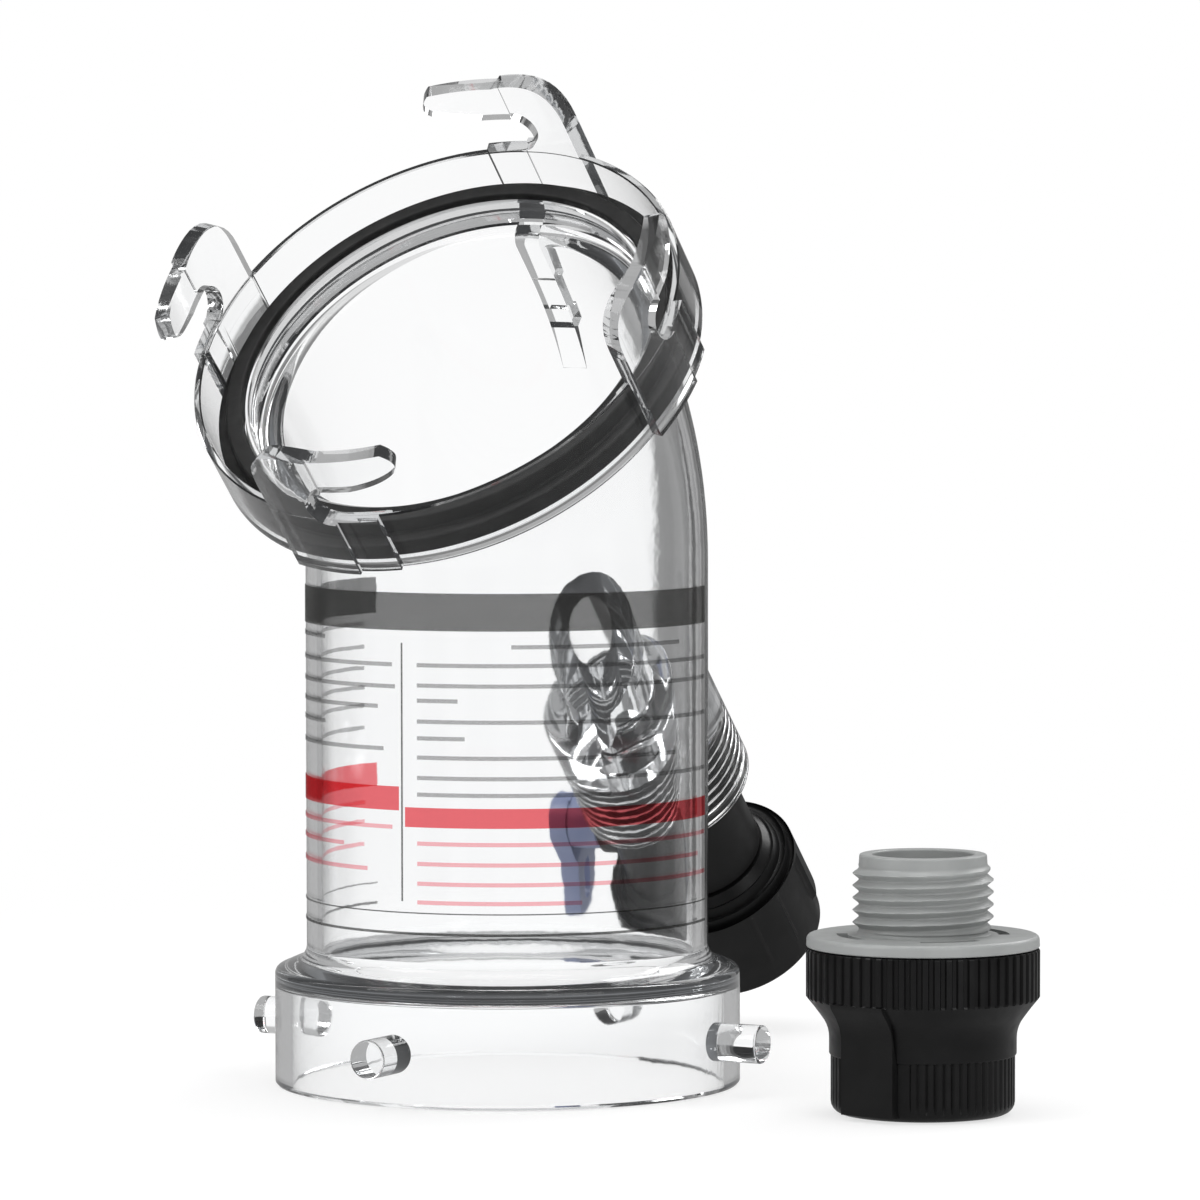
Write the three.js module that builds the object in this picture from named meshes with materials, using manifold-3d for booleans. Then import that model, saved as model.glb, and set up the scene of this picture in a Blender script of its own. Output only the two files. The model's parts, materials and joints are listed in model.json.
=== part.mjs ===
// Sewer hose kit: a clear flushing elbow with a ball valve on its side inlet,
// and a vacuum breaker that stands beside it. Millimetres, +Z up.
import * as THREE from 'three';
import { mergeVertices } from 'three/addons/utils/BufferGeometryUtils.js';
import Module from 'manifold-3d';

const wasm = await Module();
wasm.setup();

// ---------------------------------------------------------------- clearances
const seatGap = 0.3;        // pieces that seat on or in each other
const slideGap = 0.3;       // pieces that turn or slide in each other
const weldDistance = 1e-4;  // corners closer than this are one corner

// -------------------------------------------------------------- facet counts
const elbowFacets = 44;     // divisible by four, so the hooks and pins line up
const roundFacets = 24;
const smallFacets = 16;
const bendSteps = 5;
const arcSteps = 3;
const curveSteps = 6;       // of the curves in an outline
const ballFacets = 20;
const ballRows = 12;
const sealSides = 6;
const coilSteps = 10;       // in a turn of the spring
const wireSteps = 3;

// ---------------------------------------------------- elbow: legs and bend
const bendAngle = 45;       // degrees from the lower leg to the upper leg
const bendRadius = 41;      // of the centre line
const legHeight = 119.8;    // from the floor to where the axes of the legs cross
const tubeRadius = 39.5;
const tubeWall = 3;

// ------------------------------------------- elbow: lug ring at the bottom
const lugRingRadius = 45.75;
const lugRingWall = 3.4;
const lugRingHeight = 22.3;
const lugRingEdge = 0.4;
const shoulderRise = 2;
const shoulderBreak = 1.2;  // height of the break in the shoulder's slope
const shoulderInset = 1;    // how far that break stands in from the ring
const legFillet = 3;
const pinCount = 4;
const pinRadius = 3.75;
const pinHeight = 10.25;
const pinReach = 56.1;      // from the leg's axis to a pin's end
const pinChamfer = 0.4;

// -------------------------------------- elbow: bayonet ring on the upper leg
const ringBack = 26.5;      // along the upper leg from where the axes cross
const ringFloor = 2;
const ringDepth = 14.5;     // from the back to the rim
const ringRadius = 49.7;
const ringWall = 1.4;
const ringEdge = 0.8;
const ringFillet = 1.6;
const grooveWidth = 4.8;    // for the gasket, between the collar and the ring
const collarShare = 0.386;  // of the room that the groove leaves inside it
const collarHeight = 5.9;
const roundShare = 0.42;    // of the ledge inside the collar

// ------------------------------------------------ elbow: four bayonet hooks
const hookCount = 4;
const hookInset = 0.1;      // the hooks' inner face, outside the ring's inner wall
const hookPlate = 3.1;      // thickness of the fingers
const stemRaise = 0.6;      // how far the stems stand proud of the fingers
const stemStart = -17;      // degrees round the upper leg
const stemEnd = -0.8;
const padEnd = 8.5;
const padPlate = 2.8;
const fingerEnd = 19;
const pocketHeight = 8.5;   // between the rim and the finger
const pocketBack = -1.2;
const hookTop = 8.1;        // from the finger's underside to its top
const hookCrown = 0.8;
const crownStart = -8;      // where the crown is highest
const crownEnd = -4;
const fingerFlat = 6;       // where the finger's underside starts to rise
const fingerBend = 14;
const fingerNose = 17;
const fingerTip = 19.8;
const bendRise = 1;         // above the finger's underside
const noseRise = 3;
const tipRise = 5;
const hookFoot = 1;         // from the ring's back to the foot of the stem

// --------------------------------------------- elbow: rib behind the bend
const ribWidth = 5.5;
const ribHeight = 6.2;
const ribHigh = 4.3;
const ribLow = 3.1;
const ribStepOne = 12.5;    // from the ring's back
const ribStepTwo = 20.5;
const ribStepThree = 24.4;
const ribLength = 33;

// --------------------------------------------------------- elbow: side inlet
const inletLift = 2.56;     // the inlet's axis above that of the upper leg
const socketRadius = 17.4;
const socketReach = 96.5;   // from the legs' crossing to the socket's rim
const socketBore = 13.6;
const socketDepth = 16;
const socketEdge = 0.8;
const socketLength = 29;    // from the shoulder behind the socket to its rim
const socketRound = 2.5;
const neckRadius = 10.5;
const webWidth = 8;         // of the web under the neck
const passageRadius = 5;
const neckRoot = 22;        // inside the bore, from where the axes cross

// -------------------------------------------------------------- ring gasket
const gasketFlange = 3.6;
const gasketLip = 3.1;
const lipShare = 0.405;     // of the gasket's width
const lipTaper = 0.8;

// --------------------------------------------------------------- ball valve
const washerThickness = 2.2;
const valveRadius = 12.6;
const nippleChamfer = 0.9;
const nippleBore = 8;
const throatTaper = 1;
const valveLength = 21.5;   // from the socket's rim to the body's end
const stemOffset = 12.5;    // from the socket's rim to the ball's centre
const ballRadius = 7.9;
const ballBore = 5.2;
const chamberRadius = 8.7;
const seatBore = 5.5;
const seatReach = 7.2;      // from the ball's centre to the back of a seat
const seatFace = 3.9;       // from the ball's centre to the front of a seat
const bossRadius = 6.2;
const bossRoot = 0.5;       // how far the boss starts outside the chamber
const bossReach = 16.5;     // from the body's axis to the boss's face
const spindleRadius = 3;
const tangWidth = 2;
const tangLength = 5.2;
const tangDepth = 1.5;
const tangRoot = 1;
const sealSection = 0.85;

// ---------------------------------------------------------------- the lever
const leverWidth = 12;
const leverLength = 28;     // from the spindle to the lever's tip
const leverThickness = 4.4;
const stemSink = 1.1;       // how far the stem goes into the arm
const leverStand = 24.4;    // from the body's axis to the lever's inner face
const leverKnee = 6.5;
const leverFlare = 6.2;
const leverHub = 5.6;
const leverSlotWidth = 4;
const leverSlotLength = 12;
const screwHead = 3.2;
const screwHeadHeight = 1.5;
const screwHeadEdge = 0.75;
const screwHeadFlat = 1.9;
const screwShank = 1.4;
const screwLength = 9;

// -------------------------------------------- tailpiece and swivel hose nut
const spigotRadius = 9.6;
const flangeRadius = 12.9;
const flangeThickness = 2;
const tailBore = 6;
const nutLength = 25.7;
const nutBack = 2.7;
const nutRadius = 17.6;
const nutShoulder = 18.4;
const nutShoulderWidth = 6.4;
const nutShoulderSteps = [[5.2, 0], [3.4, 0.4], [1.6, 2], [0.4, 3], [0, 3.8]];
const nutEdge = 0.8;
const nutBore = 13.6;
const nutRibs = 6;
const nutRibWidth = 7;
const nutRibLength = 19.5;
const nutRibRoot = 1.5;     // how far the ribs start outside the bore
const nutRibSink = 1;       // how far they run into the shoulder
const washerEase = 1.5;     // how much wider the washer's hole is than the bore it seals
const hoseWasherThickness = 2.5;

// ------------------------------------------------------------ vacuum breaker
const breakerX = 92.8;      // from the lower leg's axis
const breakerY = -5.8;
const barrelRadius = 17.5;
const barrelHeight = 9.4;
const barrelEdge = 2.4;
const bandRadius = 17.8;
const bandHeight = 5;
const headRadius = 22.2;
const headStart = 22.3;
const headHeight = 9.1;
const flareSteps = [[1 / 6, 1 / 3], [1 / 2, 2 / 3]];
const inletBore = 13.4;
const inletDepth = 11.5;
const partition = 3;
const partitionHole = 5.5;
const lowerChamber = 15.5;
const clampLedge = 22;      // height of the ledge that the diaphragm seats on
const upperChamber = 19.2;
const padWidth = 11.5;
const padProud = 0.9;
const padRoot = 1;
const padDirection = -100;  // degrees round from +X
const breakerWasher = 2.3;
const breakerWasherEase = 0.5;
const diaphragmThickness = 1.6;
const diaphragmHole = 6.6;
const capFlange = 2.3;
const capFlangeEdge = 0.5;
const capSpigotWall = 2.2;
const capNeck = 12.2;
const capThread = 13.49;
const capThreadStart = 0.9;
const capThreadLength = 12.5;
const capCollar = 2;
const capBore = 9.6;
const spiderThickness = 2;
const spiderHoles = 4;
const spiderHoleRadius = 2;
const ventCount = 4;
const ventSpan = 44;        // degrees
const ventInner = 14.3;
const ventOuter = 16.4;
const poppetRadius = 9;
const poppetThickness = 1.8;
const discThickness = 1.4;
const guideRadius = 3.2;
const guideLength = 13.6;
const guideThrough = 4;     // how far the guide stands above the spider's underside
const springWire = 0.9;
const springRadius = 4.7;
const springTurns = 4;

// ----------------------------------------------------------------- materials
const clearPlastic = plastic(0xd9dee0, 0.08);
clearPlastic.transparent = true;
clearPlastic.opacity = 0.35;
const blackPlastic = plastic(0x1b1b1c, 0.38);
const blackRubber = plastic(0x161616, 0.75);
const greyPlastic = plastic(0x777978, 0.45);
const bluePlastic = plastic(0x3f4c6b, 0.42);
const whitePlastic = plastic(0xe4e4df, 0.4);
const steel = new THREE.MeshStandardMaterial({ color: 0xb4b6b8, roughness: 0.3, metalness: 1 });

function plastic(color, roughness) {
  return new THREE.MeshStandardMaterial({ color, roughness, metalness: 0 });
}

// ------------------------------------------------------------ closed solids
function welded(geometry) {
  const bare = geometry.clone();
  bare.deleteAttribute('normal');
  bare.deleteAttribute('uv');
  const merged = mergeVertices(bare, weldDistance);
  const corners = merged.index.array;
  const kept = [];
  for (let i = 0; i < corners.length; i += 3) {
    const [a, b, c] = [corners[i], corners[i + 1], corners[i + 2]];
    if (a !== b && b !== c && c !== a) kept.push(a, b, c);
  }
  merged.setIndex(kept);
  return merged;
}

function solid(geometry, matrix = new THREE.Matrix4()) {
  const placed = geometry.clone().applyMatrix4(matrix);
  const closed = welded(placed);
  return new wasm.Manifold(new wasm.Mesh({
    numProp: 3,
    vertProperties: new Float32Array(closed.attributes.position.array),
    triVerts: new Uint32Array(closed.index.array),
  }));
}

function surface(manifold) {
  const mesh = manifold.getMesh();
  const geometry = new THREE.BufferGeometry();
  const points = new Float32Array(mesh.vertProperties);
  geometry.setAttribute('position', new THREE.BufferAttribute(points, 3));
  geometry.setIndex([...mesh.triVerts]);
  geometry.computeVertexNormals();
  return geometry;
}

function piece(name, shape, material) {
  const geometry = shape.isBufferGeometry ? welded(shape) : surface(shape);
  geometry.computeVertexNormals();
  const mesh = new THREE.Mesh(geometry, material);
  mesh.name = name;
  return mesh;
}

function joined(first, ...others) {
  return others.reduce((whole, other) => whole.add(other), first);
}

function cut(first, ...others) {
  return others.reduce((whole, other) => whole.subtract(other), first);
}

// --------------------------------------------------------------- basic forms
// A turned form about +Z. The profile's points are [radius, height].
function turned(profile, facets = roundFacets) {
  const points = profile.map(([radius, height]) => new THREE.Vector2(radius, height));
  const first = points[0];
  const last = points[points.length - 1];
  if (first.x > 0 || last.x > 0) points.push(first.clone());
  if (THREE.ShapeUtils.area(points) < 0) points.reverse();
  const geometry = new THREE.LatheGeometry(points, facets);
  geometry.rotateX(Math.PI / 2);
  return geometry;
}

function disc(radius, low, high, facets = roundFacets) {
  return turned([[0, low], [radius, low], [radius, high], [0, high]], facets);
}

function ring(inner, outer, low, high, facets = roundFacets) {
  return turned([[inner, low], [outer, low], [outer, high], [inner, high]], facets);
}

// Points [radius, height] of a quarter round, from one side of a corner to the other.
function quarter(centreRadius, centreHeight, size, fromDegrees) {
  const points = [];
  for (let i = 0; i <= arcSteps; i++) {
    const angle = radians(fromDegrees + (90 * i) / arcSteps);
    points.push([centreRadius + size * Math.cos(angle), centreHeight + size * Math.sin(angle)]);
  }
  return points;
}

function extruded(outline, depth) {
  const drawn = outline instanceof THREE.Shape;
  const shape = drawn ? outline : new THREE.Shape(outline.map(([x, y]) => new THREE.Vector2(x, y)));
  return new THREE.ExtrudeGeometry(shape, { depth, bevelEnabled: false, curveSegments: curveSteps });
}

function radians(degrees) {
  return THREE.MathUtils.degToRad(degrees);
}

function polar(degrees, radius) {
  return [radius * Math.cos(radians(degrees)), radius * Math.sin(radians(degrees))];
}

function turnX(degrees) {
  return new THREE.Matrix4().makeRotationX(radians(degrees));
}

function turnZ(degrees) {
  return new THREE.Matrix4().makeRotationZ(radians(degrees));
}

function shift(x, y, z) {
  return new THREE.Matrix4().makeTranslation(x, y, z);
}

// ----------------------------------------------------- frames of the elbow
// The upper leg's frame has +Z out of its mouth; the inlet's has +Z out of its socket.
const crossing = new THREE.Vector3(0, 0, legHeight);
const upperFrame = shift(...crossing).multiply(turnX(bendAngle));
const inletFrame = upperFrame.clone().multiply(shift(0, inletLift, 0)).multiply(turnX(180));

// ------------------------------------------------------- loft along the legs
const tangentLength = bendRadius * Math.tan(radians(bendAngle / 2));
const bendStart = legHeight - tangentLength;

function lowerStation(height, radius) {
  return { centre: new THREE.Vector3(0, 0, height), lean: 0, radius };
}

function bendStation(lean, radius) {
  const angle = radians(lean);
  const y = bendRadius * (Math.cos(angle) - 1);
  const z = bendStart + bendRadius * Math.sin(angle);
  return { centre: new THREE.Vector3(0, y, z), lean, radius };
}

function upperStation(along, radius) {
  const centre = new THREE.Vector3(0, 0, along).applyMatrix4(upperFrame);
  return { centre, lean: bendAngle, radius };
}

function bendStations(radius) {
  const stations = [];
  for (let i = 0; i <= bendSteps; i++) stations.push(bendStation((bendAngle * i) / bendSteps, radius));
  return stations;
}

function loft(stations) {
  const points = [];
  for (const { centre, lean, radius } of stations) {
    const side = new THREE.Vector3(0, Math.cos(radians(lean)), Math.sin(radians(lean)));
    for (let i = 0; i < elbowFacets; i++) {
      const angle = (2 * Math.PI * i) / elbowFacets;
      const point = centre.clone();
      point.x += radius * Math.cos(angle);
      point.addScaledVector(side, radius * Math.sin(angle));
      points.push(point);
    }
  }
  const bottom = points.push(stations[0].centre) - 1;
  const top = points.push(stations[stations.length - 1].centre) - 1;
  const faces = [];
  const lastRing = (stations.length - 1) * elbowFacets;
  for (let i = 0; i < elbowFacets; i++) {
    const next = (i + 1) % elbowFacets;
    faces.push(bottom, next, i);
    faces.push(top, lastRing + i, lastRing + next);
    for (let base = 0; base < lastRing; base += elbowFacets) {
      const above = base + elbowFacets;
      faces.push(base + i, base + next, above + i);
      faces.push(base + next, above + next, above + i);
    }
  }
  const geometry = new THREE.BufferGeometry().setFromPoints(points);
  geometry.setIndex(faces);
  return geometry;
}

// -------------------------------------------------------------- elbow: shell
const boreRadius = tubeRadius - tubeWall;
const lugRingBore = lugRingRadius - lugRingWall;
const ringRim = ringBack + ringDepth;
const ringInner = ringRadius - ringWall;
const ringFloorTop = ringBack + ringFloor;
const collarOuter = ringInner - grooveWidth;
const collarRadius = collarOuter - (collarOuter - boreRadius) * collarShare;
const mouthRound = (collarRadius - boreRadius) * roundShare;
const collarTop = ringFloorTop + collarHeight;
const shoulderTop = lugRingHeight + shoulderRise;
const past = 2;             // how far a cutting form runs past the face it cuts

function outerForm() {
  const shoulder = quarter(tubeRadius + legFillet, shoulderTop + legFillet, legFillet, 180);
  const fillet = shoulder.reverse().map(([radius, height]) => lowerStation(height, radius));
  const back = quarter(tubeRadius + ringFillet, ringBack - ringFillet, ringFillet, 90);
  const backFillet = back.reverse().map(([radius, along]) => upperStation(along, radius));
  return loft([
    lowerStation(0, lugRingRadius - lugRingEdge),
    lowerStation(lugRingEdge, lugRingRadius),
    lowerStation(lugRingHeight, lugRingRadius),
    lowerStation(lugRingHeight + shoulderBreak, lugRingRadius - shoulderInset),
    ...fillet,
    ...bendStations(tubeRadius),
    ...backFillet,
    upperStation(ringBack, ringRadius - ringEdge),
    upperStation(ringBack + ringEdge, ringRadius),
    upperStation(ringRim, ringRadius),
  ]);
}

function innerForm() {
  const ceiling = shoulderTop - tubeWall;
  const rise = quarter(boreRadius + legFillet, ceiling + legFillet, legFillet, 180);
  const throat = rise.reverse().map(([radius, height]) => lowerStation(height, radius));
  const mouth = quarter(boreRadius + mouthRound, ringFloorTop - mouthRound, mouthRound, 90);
  const mouthStations = mouth.reverse().map(([radius, along]) => upperStation(along, radius));
  return loft([
    lowerStation(-past, lugRingBore),
    lowerStation(ceiling - shoulderInset, lugRingBore),
    ...throat,
    ...bendStations(boreRadius),
    ...mouthStations,
    upperStation(ringFloorTop, ringInner),
    upperStation(ringRim + past, ringInner),
  ]);
}

function pins() {
  const root = lugRingRadius - lugRingWall / 2;
  const profile = [
    [0, root],
    [pinRadius, root],
    [pinRadius, pinReach - pinChamfer],
    [pinRadius - pinChamfer, pinReach],
    [0, pinReach],
  ];
  const outward = shift(0, 0, pinHeight).multiply(new THREE.Matrix4().makeRotationY(Math.PI / 2));
  const solids = [];
  for (let i = 0; i < pinCount; i++) {
    solids.push(solid(turned(profile, smallFacets), turnZ((360 * i) / pinCount).multiply(outward)));
  }
  return solids;
}

// A stepped rib on the outside of the bend, from the ring's back downwards.
function backRib() {
  const foot = tubeRadius - tubeWall / 2;
  const bendCentre = bendRadius * -1;
  const lowEnd = ringBack - ribLength;
  const surfaceAt = (along) => {
    const before = Math.max(0, tangentLength - along);
    return bendCentre + Math.sqrt((bendRadius + tubeRadius) ** 2 - before ** 2);
  };
  const stepOne = ringBack - ribStepOne;
  const stepTwo = ringBack - ribStepTwo;
  const stepThree = ringBack - ribStepThree;
  const outline = [
    [ringBack + ringFloor / 2, foot],
    [ringBack + ringFloor / 2, surfaceAt(ringBack) + ribHeight],
    [stepOne, surfaceAt(stepOne) + ribHigh],
    [stepOne, surfaceAt(stepOne) + ribLow],
    [stepTwo, surfaceAt(stepTwo) + ribLow],
    [stepTwo, surfaceAt(stepTwo) + ribHigh],
    [stepThree, surfaceAt(stepThree) + ribHigh],
    [stepThree, surfaceAt(stepThree) + ribLow / 2],
    [lowEnd, surfaceAt(lowEnd)],
    [lowEnd, surfaceAt(lowEnd) - tubeWall / 2],
    [stepThree, surfaceAt(stepThree) - tubeWall / 2],
  ];
  const plate = extruded(outline, ribWidth);
  // The outline's x runs along the leg, its y away from the axis.
  const basis = new THREE.Matrix4().makeBasis(
    new THREE.Vector3(0, 0, 1), new THREE.Vector3(0, 1, 0), new THREE.Vector3(-1, 0, 0));
  const middle = shift(ribWidth / 2, 0, 0);
  return solid(plate, upperFrame.clone().multiply(middle).multiply(basis));
}

// -------------------------------------------------------------- elbow: hooks
const hookInner = ringInner + hookInset;
const fingerOuter = hookInner + hookPlate;
const stemOuter = fingerOuter + stemRaise;
const padOuter = hookInner + padPlate;
const hookMiddle = (stemStart + fingerEnd) / 2;
const underside = ringRim + pocketHeight;
const hookSummit = underside + hookTop;
const footLevel = ringBack + hookFoot;

// Flat coordinates of a point on a hook: across from its middle, and along the leg.
function onHook(degrees, along) {
  return [fingerOuter * Math.sin(radians(degrees - hookMiddle)), along];
}

function hookOutline() {
  const shape = new THREE.Shape();
  const pocketRadius = pocketHeight / 2;
  const [pocketX, pocketY] = onHook(pocketBack, ringRim + pocketRadius);
  shape.moveTo(...onHook(stemStart, footLevel));
  shape.lineTo(...onHook(padEnd, footLevel));
  shape.lineTo(...onHook(padEnd, ringRim));
  shape.lineTo(pocketX, ringRim);
  shape.absarc(pocketX, pocketY, pocketRadius, -Math.PI / 2, -Math.PI * 1.5, true);
  const crown = hookSummit + hookCrown;
  shape.lineTo(...onHook(fingerFlat, underside));
  const nose = onHook(fingerNose, underside + noseRise);
  shape.quadraticCurveTo(...onHook(fingerBend, underside + bendRise), ...nose);
  shape.quadraticCurveTo(...onHook(fingerTip, underside + tipRise), ...onHook(fingerNose - 1, hookSummit));
  shape.lineTo(...onHook(0, hookSummit));
  shape.quadraticCurveTo(...onHook(crownEnd, crown), ...onHook(crownStart, crown));
  shape.quadraticCurveTo(...onHook(stemStart, crown), ...onHook(stemStart, hookSummit - hookTop));
  return shape;
}

function hookBlock(outline) {
  const angle = radians(hookMiddle);
  const outward = new THREE.Vector3(Math.cos(angle), Math.sin(angle), 0);
  const across = new THREE.Vector3(-Math.sin(angle), Math.cos(angle), 0);
  const basis = new THREE.Matrix4().makeBasis(across, new THREE.Vector3(0, 0, 1), outward);
  const start = shift(...outward.clone().multiplyScalar(collarRadius));
  return solid(extruded(outline, stemOuter - collarRadius + past), start.multiply(basis));
}

function hookBand(fromDegrees, toDegrees, low, high) {
  const [left] = onHook(fromDegrees, 0);
  const [right] = onHook(toDegrees, 0);
  return hookBlock([[left, low], [right, low], [right, high], [left, high]]);
}

function hookShell(outer) {
  return solid(ring(hookInner, outer, footLevel - past, hookSummit + past, elbowFacets));
}

function hooks() {
  const block = hookBlock(hookOutline());
  const low = footLevel - past;
  const high = hookSummit + past;
  const stem = hookShell(stemOuter).intersect(block).intersect(hookBand(stemStart - 1, stemEnd, low, high));
  const pad = hookShell(padOuter).intersect(block).intersect(hookBand(stemEnd - 1, padEnd + 1, low, ringRim));
  const tipBand = hookBand(stemEnd - 1, fingerEnd + 1, ringRim + 1, high);
  const finger = hookShell(fingerOuter).intersect(block).intersect(tipBand);
  const hook = joined(stem, pad, finger);
  const solids = [];
  for (let i = 0; i < hookCount; i++) {
    const placed = upperFrame.clone().multiply(turnZ((360 * i) / hookCount));
    solids.push(hook.transform(placed.elements));
  }
  return solids;
}

// -------------------------------------------------------- elbow: side inlet
const socketFloor = socketReach - socketDepth;

function socketForm() {
  const back = socketReach - socketLength;
  const shoulder = quarter(socketRadius - socketRound, back + socketRound, socketRound, -90);
  const rim = quarter(socketRadius - socketEdge, socketReach - socketEdge, socketEdge, 0);
  const neck = [[0, neckRoot], [neckRadius, neckRoot], [neckRadius, back]];
  const socket = solid(turned([...neck, ...shoulder, ...rim, [0, socketReach]]), inletFrame);
  const webHeight = socketRadius - socketRound;
  const webLength = back + socketRound - neckRoot;
  const middle = shift(0, webHeight / 2, neckRoot + webLength / 2);
  const web = new THREE.BoxGeometry(webWidth, webHeight, webLength);
  return socket.add(solid(web, inletFrame.clone().multiply(middle)));
}

function socketBoreForm() {
  const profile = [
    [0, neckRoot],
    [passageRadius, neckRoot],
    [passageRadius, socketFloor],
    [socketBore, socketFloor],
    [socketBore, socketReach + past],
    [0, socketReach + past],
  ];
  return solid(turned(profile), inletFrame);
}

function elbowBody() {
  const outside = joined(solid(outerForm()), ...pins(), backRib(), socketForm());
  const shell = cut(outside, solid(innerForm()), socketBoreForm());
  const collarRoot = ringFloorTop - ringFloor / 2;
  const collar = ring(collarRadius, collarOuter, collarRoot, collarTop, elbowFacets);
  return joined(shell, solid(collar, upperFrame), ...hooks());
}

// -------------------------------------------------------------- ring gasket
function ringGasket() {
  const inner = collarOuter + seatGap;
  const outer = ringInner - seatGap;
  const low = ringFloorTop + seatGap;
  const flangeTop = low + gasketFlange;
  const lipWall = (outer - inner) * lipShare;
  return turned([
    [inner, low],
    [outer, low],
    [outer, flangeTop],
    [inner + lipWall, flangeTop],
    [inner + lipWall * lipTaper, flangeTop + gasketLip],
    [inner, flangeTop + gasketLip],
  ], elbowFacets);
}

// --------------------------------------- ball valve, along the inlet's axis
const nippleRadius = socketBore - seatGap;
const washerLow = socketFloor + seatGap;
const nippleEnd = washerLow + washerThickness + seatGap;
const bodyEnd = socketReach + valveLength;
const ballCentre = socketReach + stemOffset;
const chamberFloor = ballCentre - seatReach - seatGap;
const nippleTop = socketReach - nippleChamfer;

function inletWasher() {
  return ring(nippleBore + seatGap, nippleRadius, washerLow, washerLow + washerThickness);
}

// Turns a form made about +Z so that it points along -X from the ball's centre.
const spindleFrame = shift(0, 0, ballCentre).multiply(new THREE.Matrix4().makeRotationY(-Math.PI / 2));

const grooveRadius = spindleRadius + slideGap * 2 + sealSection * 2;
const grooveDepth = sealSection * 2 + slideGap;

function valveBody() {
  const profile = [
    [nippleBore, nippleEnd],
    [nippleRadius - nippleChamfer, nippleEnd],
    [nippleRadius, nippleEnd + nippleChamfer],
    [nippleRadius, nippleTop],
    [valveRadius, nippleTop + (nippleRadius - valveRadius)],
    [valveRadius, bodyEnd],
    [chamberRadius, bodyEnd],
    [chamberRadius, chamberFloor],
    [seatBore, chamberFloor],
    [seatBore, socketReach + throatTaper],
    [nippleBore, socketReach - throatTaper],
  ];
  const boss = solid(disc(bossRadius, chamberRadius + bossRoot, bossReach), spindleFrame);
  const hole = solid(disc(spindleRadius + slideGap, 0, bossReach + past, smallFacets), spindleFrame);
  const groove = disc(grooveRadius, bossReach - grooveDepth, bossReach + past, smallFacets);
  return cut(joined(solid(turned(profile)), boss), hole, solid(groove, spindleFrame));
}

const tangTop = ballRadius + slideGap;

function valveBall() {
  const sphere = new THREE.SphereGeometry(ballRadius, ballFacets, ballRows).rotateX(Math.PI / 2);
  const ball = solid(sphere, shift(0, 0, ballCentre));
  const reach = ballRadius + past;
  const bore = solid(disc(ballBore, ballCentre - reach, ballCentre + reach, smallFacets));
  const slotWidth = tangWidth + slideGap * 2;
  const slot = new THREE.BoxGeometry(slotWidth, tangLength + slideGap * 2, tangDepth * 2 + slideGap * 2);
  return cut(ball, bore, solid(slot, spindleFrame.clone().multiply(shift(0, 0, ballRadius))));
}

function valveStem() {
  const shaftEnd = leverStand + stemSink;
  const shaft = solid(disc(spindleRadius, tangTop, shaftEnd, smallFacets), spindleFrame);
  const tangHeight = tangDepth + slideGap + tangRoot;
  const tang = new THREE.BoxGeometry(tangWidth, tangLength, tangHeight);
  const tangMiddle = ballRadius - tangDepth + tangHeight / 2;
  const pilot = disc(screwShank + seatGap, shaftEnd - screwLength, shaftEnd + past, smallFacets);
  const blade = solid(tang, spindleFrame.clone().multiply(shift(0, 0, tangMiddle)));
  return cut(joined(shaft, blade), solid(pilot, spindleFrame));
}

function stemSeal() {
  const middle = spindleRadius + slideGap + sealSection;
  const torus = new THREE.TorusGeometry(middle, sealSection, sealSides, smallFacets);
  const along = bossReach - grooveDepth + slideGap + sealSection;
  return torus.applyMatrix4(spindleFrame.clone().multiply(shift(0, 0, along)));
}

// A seat ring whose face follows the ball.
function ballSeat(side) {
  const back = seatReach;
  const faceRadius = ballRadius + seatGap;
  const outer = chamberRadius - seatGap;
  const faceEdge = Math.sqrt(faceRadius ** 2 - seatFace ** 2);
  const inner = seatBore;
  const faceBack = Math.sqrt(faceRadius ** 2 - inner ** 2);
  const between = radiansBetween(faceEdge, seatFace, inner, faceBack);
  const face = between.map((angle) => [faceRadius * Math.cos(angle), faceRadius * Math.sin(angle)]);
  const profile = [[inner, back], [outer, back], [outer, seatFace], ...face];
  return turned(profile.map(([radius, away]) => [radius, ballCentre + side * away]), smallFacets);
}

// Angles, in arcSteps steps, from one point on a round to another.
function radiansBetween(x1, y1, x2, y2) {
  const from = Math.atan2(y1, x1);
  const to = Math.atan2(y2, x2);
  const angles = [];
  for (let i = 0; i <= arcSteps; i++) angles.push(from + ((to - from) * i) / arcSteps);
  return angles;
}

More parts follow.
